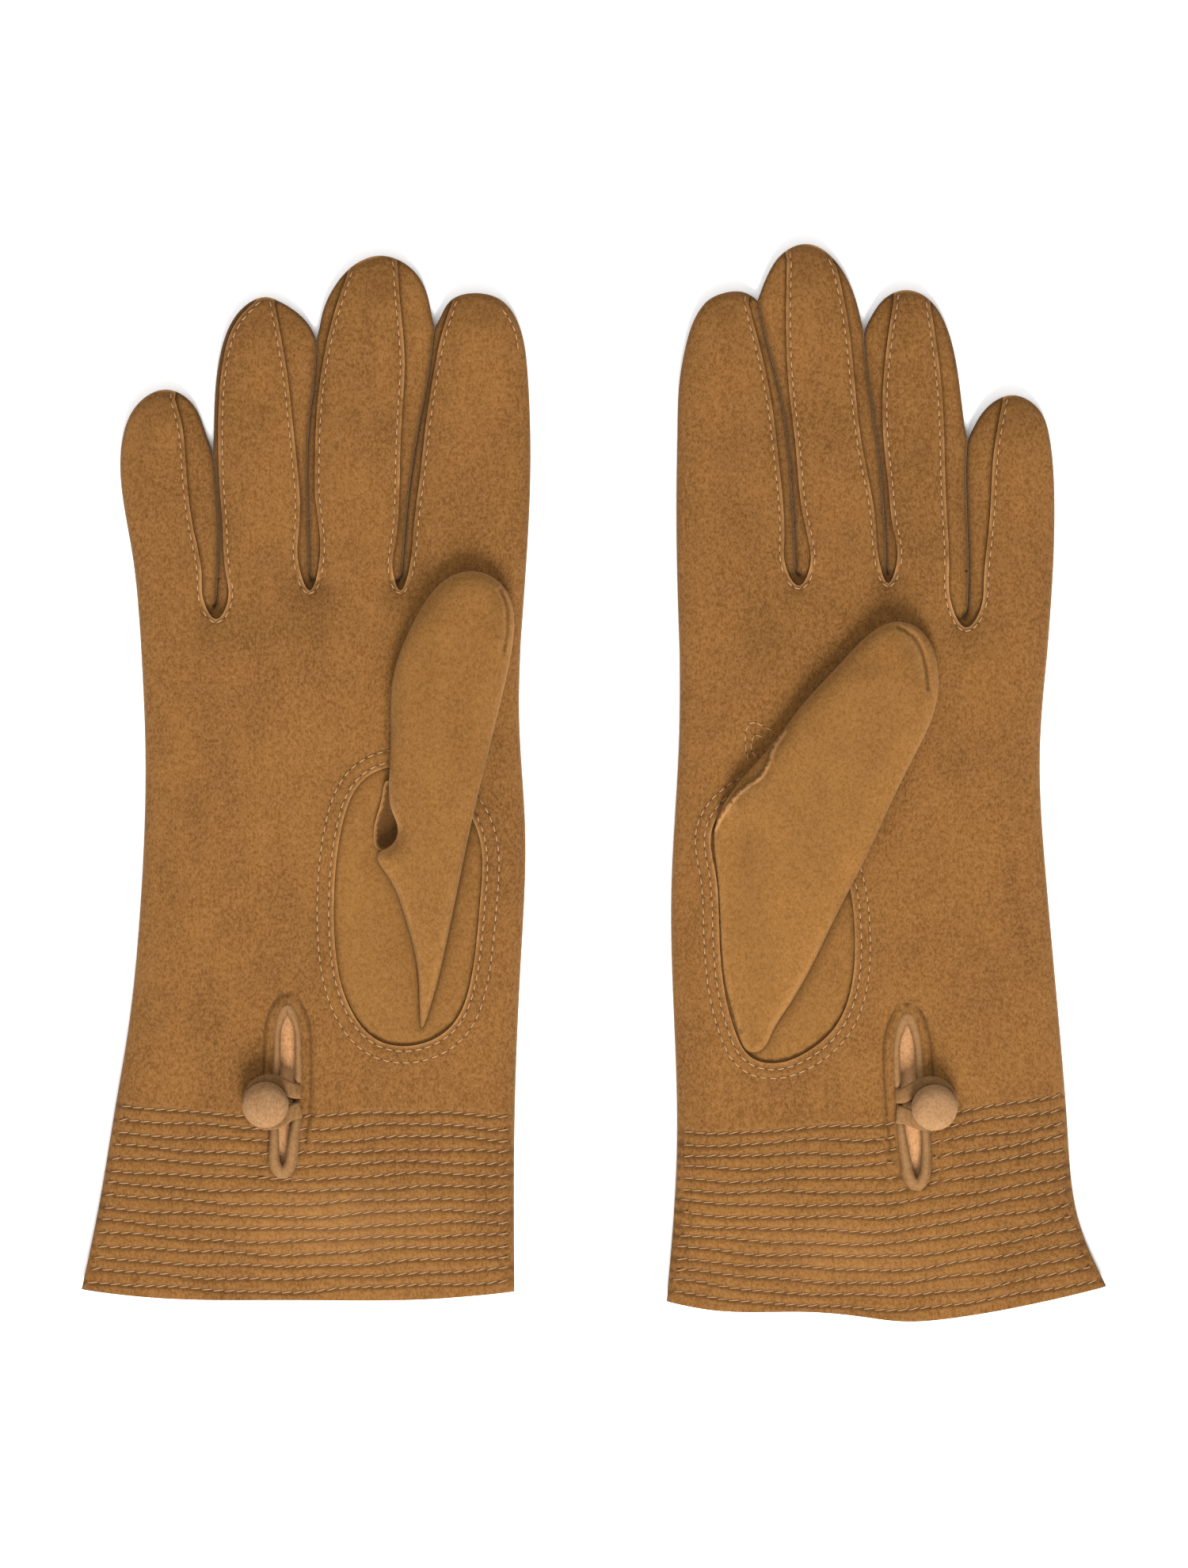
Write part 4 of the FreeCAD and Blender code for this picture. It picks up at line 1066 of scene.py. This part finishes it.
    def make_cuff_facing(self):
        """The cuff's inner band, which shows its flesh side through the slit."""
        side = FACING_CELLS + 1
        xs, ys = np.linspace(-36, 32, side), np.linspace(1.5, 74, side)
        p = np.array([(x, y) for y in ys for x in xs])
        middle = np.interp(p[:, 1], (28, 66), (self.data["binding"][8][0],
                                               self.data["binding"][0][0]))
        hill = bell(p[:, 0] - middle, 9.0) * smooth(p[:, 1], 12, 26)
        z = 1.75 + 0.25 * waves(p, 15, 3.3) + 3.75 * hill * smooth(-p[:, 1], -77, -66)
        place = self.at(p)
        points = np.column_stack([place, z])
        quads = [(j * side + i, j * side + i + 1, (j + 1) * side + i + 1, (j + 1) * side + i)
                 for j in range(FACING_CELLS) for i in range(FACING_CELLS)]
        faces = np.array([f for q in quads for f in ((q[0], q[1], q[2]), (q[0], q[2], q[3]))])
        if self.side < 0:
            faces = faces[:, ::-1]
        normals = vertex_normals(points, faces)
        piece = skin(f"{self.name}_cuff_facing", points, normals, faces, 0.5, [INNER] * 3,
                     no_marks(len(p)))
        self.finish(self.ride(piece, "palm"), ["cuff_facing"])

    def make_binding(self):
        """The rolled strip round the slit. It dips where the loop is sewn over it."""
        path = spline(self.data["binding"], 0.9, closed=True)
        place = self.at(path[:, :2])
        n = outward_normals(place)
        strap_y = (self.data["strap"][0][1] + self.data["strap"][-1][1]) / 2
        under_strap = path[:, 0] > self.data["binding"][8][0] + 1.5
        dip = np.exp(-((path[:, 1] - strap_y) / 3.6) ** 4) * under_strap
        points, faces, edge, m = [], [], [], 14
        for k in range(m):
            turn = 2 * math.pi * k / m
            out = path[:, 2] * math.cos(turn) * 0.96
            z = 7.15 - 1.0 * dip + (0.95 + 0.15 * waves(place, 5, 1.1)) * math.sin(turn)
            points.append(np.column_stack([place + n * out[:, None], z]))
            # a painted highlight along the top of the roll
            edge.append(np.full(len(path), 0.5 * max(0, math.sin(turn)) ** 6))
        count = len(path)
        for k in range(m):
            a, b = k * count, (k + 1) % m * count
            for i in range(count):
                j = (i + 1) % count
                faces.append((a + i, b + i, b + j, a + j))
        points = np.vstack(points)
        obj = make_mesh(f"{self.name}_slit_binding", points, self.outward(points, faces), [BINDING],
                        attributes={"edge": np.concatenate(edge),
                                    "painted_shade_and_patches": np.zeros(len(points))})
        self.finish(self.ride(obj, "palm"), ["slit_binding"])

    def outward(self, points, faces):
        """The faces, turned so that a closed mesh's volume is positive."""
        volume = 0.0
        for f in faces:
            for k in range(1, len(f) - 1):
                a, b, c = points[f[0]], points[f[k]], points[f[k + 1]]
                volume += np.dot(a, np.cross(b, c))
        return faces if volume > 0 else [tuple(f)[::-1] for f in faces]

    def make_strap(self):
        """The button loop: a folded strip, wide at the slit and narrow round the button."""
        path = spline(self.data["strap"], 0.6)
        data = np.array(self.data["strap"])
        t = np.concatenate([[0], np.cumsum(np.linalg.norm(np.diff(data[:, :2], axis=0), axis=1))])
        s = np.linspace(0, t[-1], len(path))
        half, z = np.interp(s, t, data[:, 2]), np.interp(s, t, data[:, 3])
        place = self.at(path[:, :2])
        n = normals_of(place)
        away = place - self.at(self.data["button"])
        n = n * np.sign((away * n).sum(1).mean())
        m, points = 16, []
        for k in range(m):
            turn = 2 * math.pi * k / m
            out = np.sign(math.cos(turn)) * abs(math.cos(turn)) ** 0.8 * half
            up = np.sign(math.sin(turn)) * abs(math.sin(turn)) ** 0.8 * 0.58
            lean = 0.12 * out
            fold = 0.16 * bell(out / half - 0.25, 0.16) * (math.sin(turn) > 0)
            points.append(np.column_stack([place + n * out[:, None], z + up - lean - fold]))
        points = np.stack(points, axis=1).reshape(-1, 3)
        faces = []
        for i in range(len(path) - 1):
            for k in range(m):
                q = (k + 1) % m
                faces.append((i * m + k, i * m + q, (i + 1) * m + q, (i + 1) * m + k))
        faces.append(tuple(range(m))[::-1])
        faces.append(tuple((len(path) - 1) * m + k for k in range(m)))
        rim = np.array([0.8 if k in (0, m // 2) else 0.1 for k in range(m)])
        values = {"edge": np.tile(rim, len(path)), "painted_shade_and_patches": np.zeros(len(points))}
        obj = make_mesh(f"{self.name}_button_loop", points, self.outward(points, faces), [BINDING],
                        attributes=values)
        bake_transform(obj)
        self.finish(obj, ["button_loop"])

    def lathe(self, name, centre, profile, material, wobble=0.0, turns=48):
        """A turned shape from (radius, z) pairs, lowest first, closed at its two ends."""
        points = [(*centre, profile[0][1])]
        for radius, z in profile[1:-1]:
            for k in range(turns):
                turn = 2 * math.pi * k / turns
                r = radius * (1 + wobble * noise.noise(Vector((math.cos(turn), math.sin(turn), z))))
                points.append((centre[0] + r * math.cos(turn), centre[1] + r * math.sin(turn), z))
        points.append((*centre, profile[-1][1]))
        faces, rings = [], len(profile) - 2
        for k in range(turns):
            q = (k + 1) % turns
            faces.append((0, 1 + q, 1 + k))
            for ring in range(rings - 1):
                a, b = 1 + ring * turns, 1 + (ring + 1) * turns
                faces.append((a + k, a + q, b + q, b + k))
            last = 1 + (rings - 1) * turns
            faces.append((last + k, last + q, len(points) - 1))
        return make_mesh(name, np.array(points), faces, [material],
                         attributes=no_marks(len(points)))

    def make_button(self):
        """The suede-covered button and the thread shank under it."""
        low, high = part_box(f"{self.name}_button_cover")
        low, high = np.array(low) / MM, np.array(high) / MM
        centre, radius = (low[:2] + high[:2]) / 2, (high[0] - low[0]) / 2
        share = [(0.0, 0.0), (0.80, 0.0), (0.90, 0.03), (0.965, 0.11), (0.995, 0.22),
                 (1.0, 0.34), (0.985, 0.47), (0.93, 0.62), (0.84, 0.745), (0.72, 0.845),
                 (0.56, 0.925), (0.38, 0.975), (0.2, 0.995), (0.0, 1.0)]
        profile = [(radius * r, low[2] + (high[2] - low[2]) * z) for r, z in share]
        cover = self.lathe(f"{self.name}_button", centre, profile, BUTTON, 0.012)
        self.finish(self.ride(cover, "button"), ["button_cover"])
        low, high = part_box(f"{self.name}_button_thread")
        low, high = np.array(low) / MM, np.array(high) / MM
        centre, turns = (low[:2] + high[:2]) / 2, 5
        step = (high[2] - low[2] + 0.3) / turns
        profile = [(0.0, low[2] - 0.35)]
        for k in range(turns):
            z = low[2] - 0.35 + k * step
            profile += [(1.15, z + 0.02), (1.35, z + 0.25 * step), (1.35, z + 0.7 * step)]
        profile += [(1.1, high[2]), (0.0, high[2])]
        shank = self.lathe(f"{self.name}_button_shank", centre, profile, THREAD, 0.0, 20)
        self.finish(self.ride(shank, "palm"), ["button_thread"])
        for part in ("button_shell", "button_back"):
            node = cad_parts[f"{self.name}_{part}"]
            node.data.materials.clear()
            node.data.materials.append(METAL)

    # -- sewing
    def make_stitches(self):
        d = self.data
        owners = {}

        def add(owner, run):
            if len(run) > 1:
                owners.setdefault(owner, []).append(run)

        for number, seam in enumerate(self.seams):
            n = normals_of(seam)
            strip = self.strips[number]
            quarter = len(seam) // 4
            sign = -1 if inside(seam[quarter][None] + 0.6 * n[quarter], strip)[0] else 1
            run = seam + sign * 1.0 * n
            low = int(np.argmin(run[:, 1]))
            for finger, part in ((number, run[:low + 1]), (number + 1, run[low:])):
                name = FINGERS[finger]
                above = self.along(part) > d["bend"][name][0]
                add(name, part[above])
                add("palm", part[~above])
        if d["index_tip"]:
            add("index", self.at(spline(d["index_tip"], 1.0)))
        for finger, runs in owners.items():
            for below in (False, True):
                side = "back" if below else "front"
                obj = sew(f"{self.name}_{finger}_stitches_{side}", runs, self.tree, THREAD,
                          SEAM_PITCH, SEAM_STITCH, SEAM_THREAD, below=below, hole=0.13)
                if obj is None:
                    continue
                if finger == "palm":
                    self.ride(obj, "palm")
                else:
                    self.bend(obj, finger)

        def beside_thumb(q):
            return not inside(q[None], self.thumb_line)[0]

        hole_n = outward_normals(self.hole)
        runs = [ringed(self.hole) + step * ringed(hole_n) for step in d["hole_rows"]]
        runs += [self.at(line) for line in d["triangle"]]
        obj = sew(f"{self.name}_thumb_hole_stitches", runs, self.tree, THREAD, SEAM_PITCH,
                  HOLE_STITCH, SEAM_THREAD, keep=beside_thumb)
        self.ride(obj, "palm")
        around = ringed(self.slit)

        def clear(q):
            q = q[None]
            return not inside(q, self.slit)[0] and distance(q, around)[0] > 1.35

        rows = []
        for number in range(ROWS):
            line = self.row_line(number)
            spots = self.at(resample(line + [0, 0.16], 0.8))
            good = inside(spots, self.outline) & (distance(spots, self.sides) > 0.9)
            rows.append(spots[good])
        for below in (False, True):
            side = "back" if below else "front"
            obj = sew(f"{self.name}_cuff_stitches_{side}", rows, self.tree, THREAD_CUFF,
                      ROW_PITCH, ROW_STITCH, ROW_THREAD, ROW_SLANT, 0.02, below,
                      None if below else clear, None)
            self.ride(obj, "palm")


# ---------------------------------------------------------------- studio
def make_stage():
    mesh = bpy.data.meshes.new("floor")
    size = FLOOR_HALF
    mesh.from_pydata([(-size, -size, 0), (size, -size, 0), (size, size, 0), (-size, size, 0)], [],
                     [(0, 1, 2, 3)])
    material, _, shader = nodes_for("floor")
    set_inputs(shader, {"Base Color": (0.93, 0.93, 0.93, 1), "Roughness": 0.9})
    mesh.materials.append(material)
    floor = bpy.data.objects.new("floor", mesh)
    bpy.context.scene.collection.objects.link(floor)


def area_light(name, place, target, size, power):
    light = bpy.data.lights.new(name, "AREA")
    light.shape, light.size, light.energy = "DISK", size, power
    obj = bpy.data.objects.new(name, light)
    bpy.context.scene.collection.objects.link(obj)
    obj.location = place
    obj.rotation_mode = "QUATERNION"
    obj.rotation_quaternion = (Vector(target) - Vector(place)).to_track_quat("-Z", "Y")


def make_studio():
    scene = bpy.context.scene
    scene.view_settings.view_transform = "Standard"
    world = bpy.data.worlds.new("studio")
    scene.world = world
    world.use_nodes = True
    background = world.node_tree.nodes["Background"]
    set_inputs(background, {"Color": (1, 1, 1, 1), "Strength": 0.94})
    area_light("key", (0.35, -2.4, 1.75), (0, 0, 0), 1.25, 212.0)
    area_light("fill", (-0.6, 0.3, 1.1), (0, 0, 0), 0.9, 5.0)
    camera = bpy.data.cameras.new("camera")
    camera.lens, camera.sensor_width = CAMERA_LENS, CAMERA_SENSOR
    obj = bpy.data.objects.new("camera", camera)
    scene.collection.objects.link(obj)
    obj.location = (0, 0, FOCUS_HEIGHT + VIEW_HEIGHT / 2 * camera.lens / (camera.sensor_width / 2))
    camera.clip_start, camera.clip_end = 0.01, 20
    scene.camera = obj


make_studio()
make_stage()
for data in (RIGHT, LEFT):
    glove = Glove(data)
    glove.make_hand()
    glove.make_thumb()
    glove.make_quirk()
    glove.make_cuff_facing()
    glove.make_binding()
    glove.make_strap()
    glove.make_button()
    glove.make_stitches()
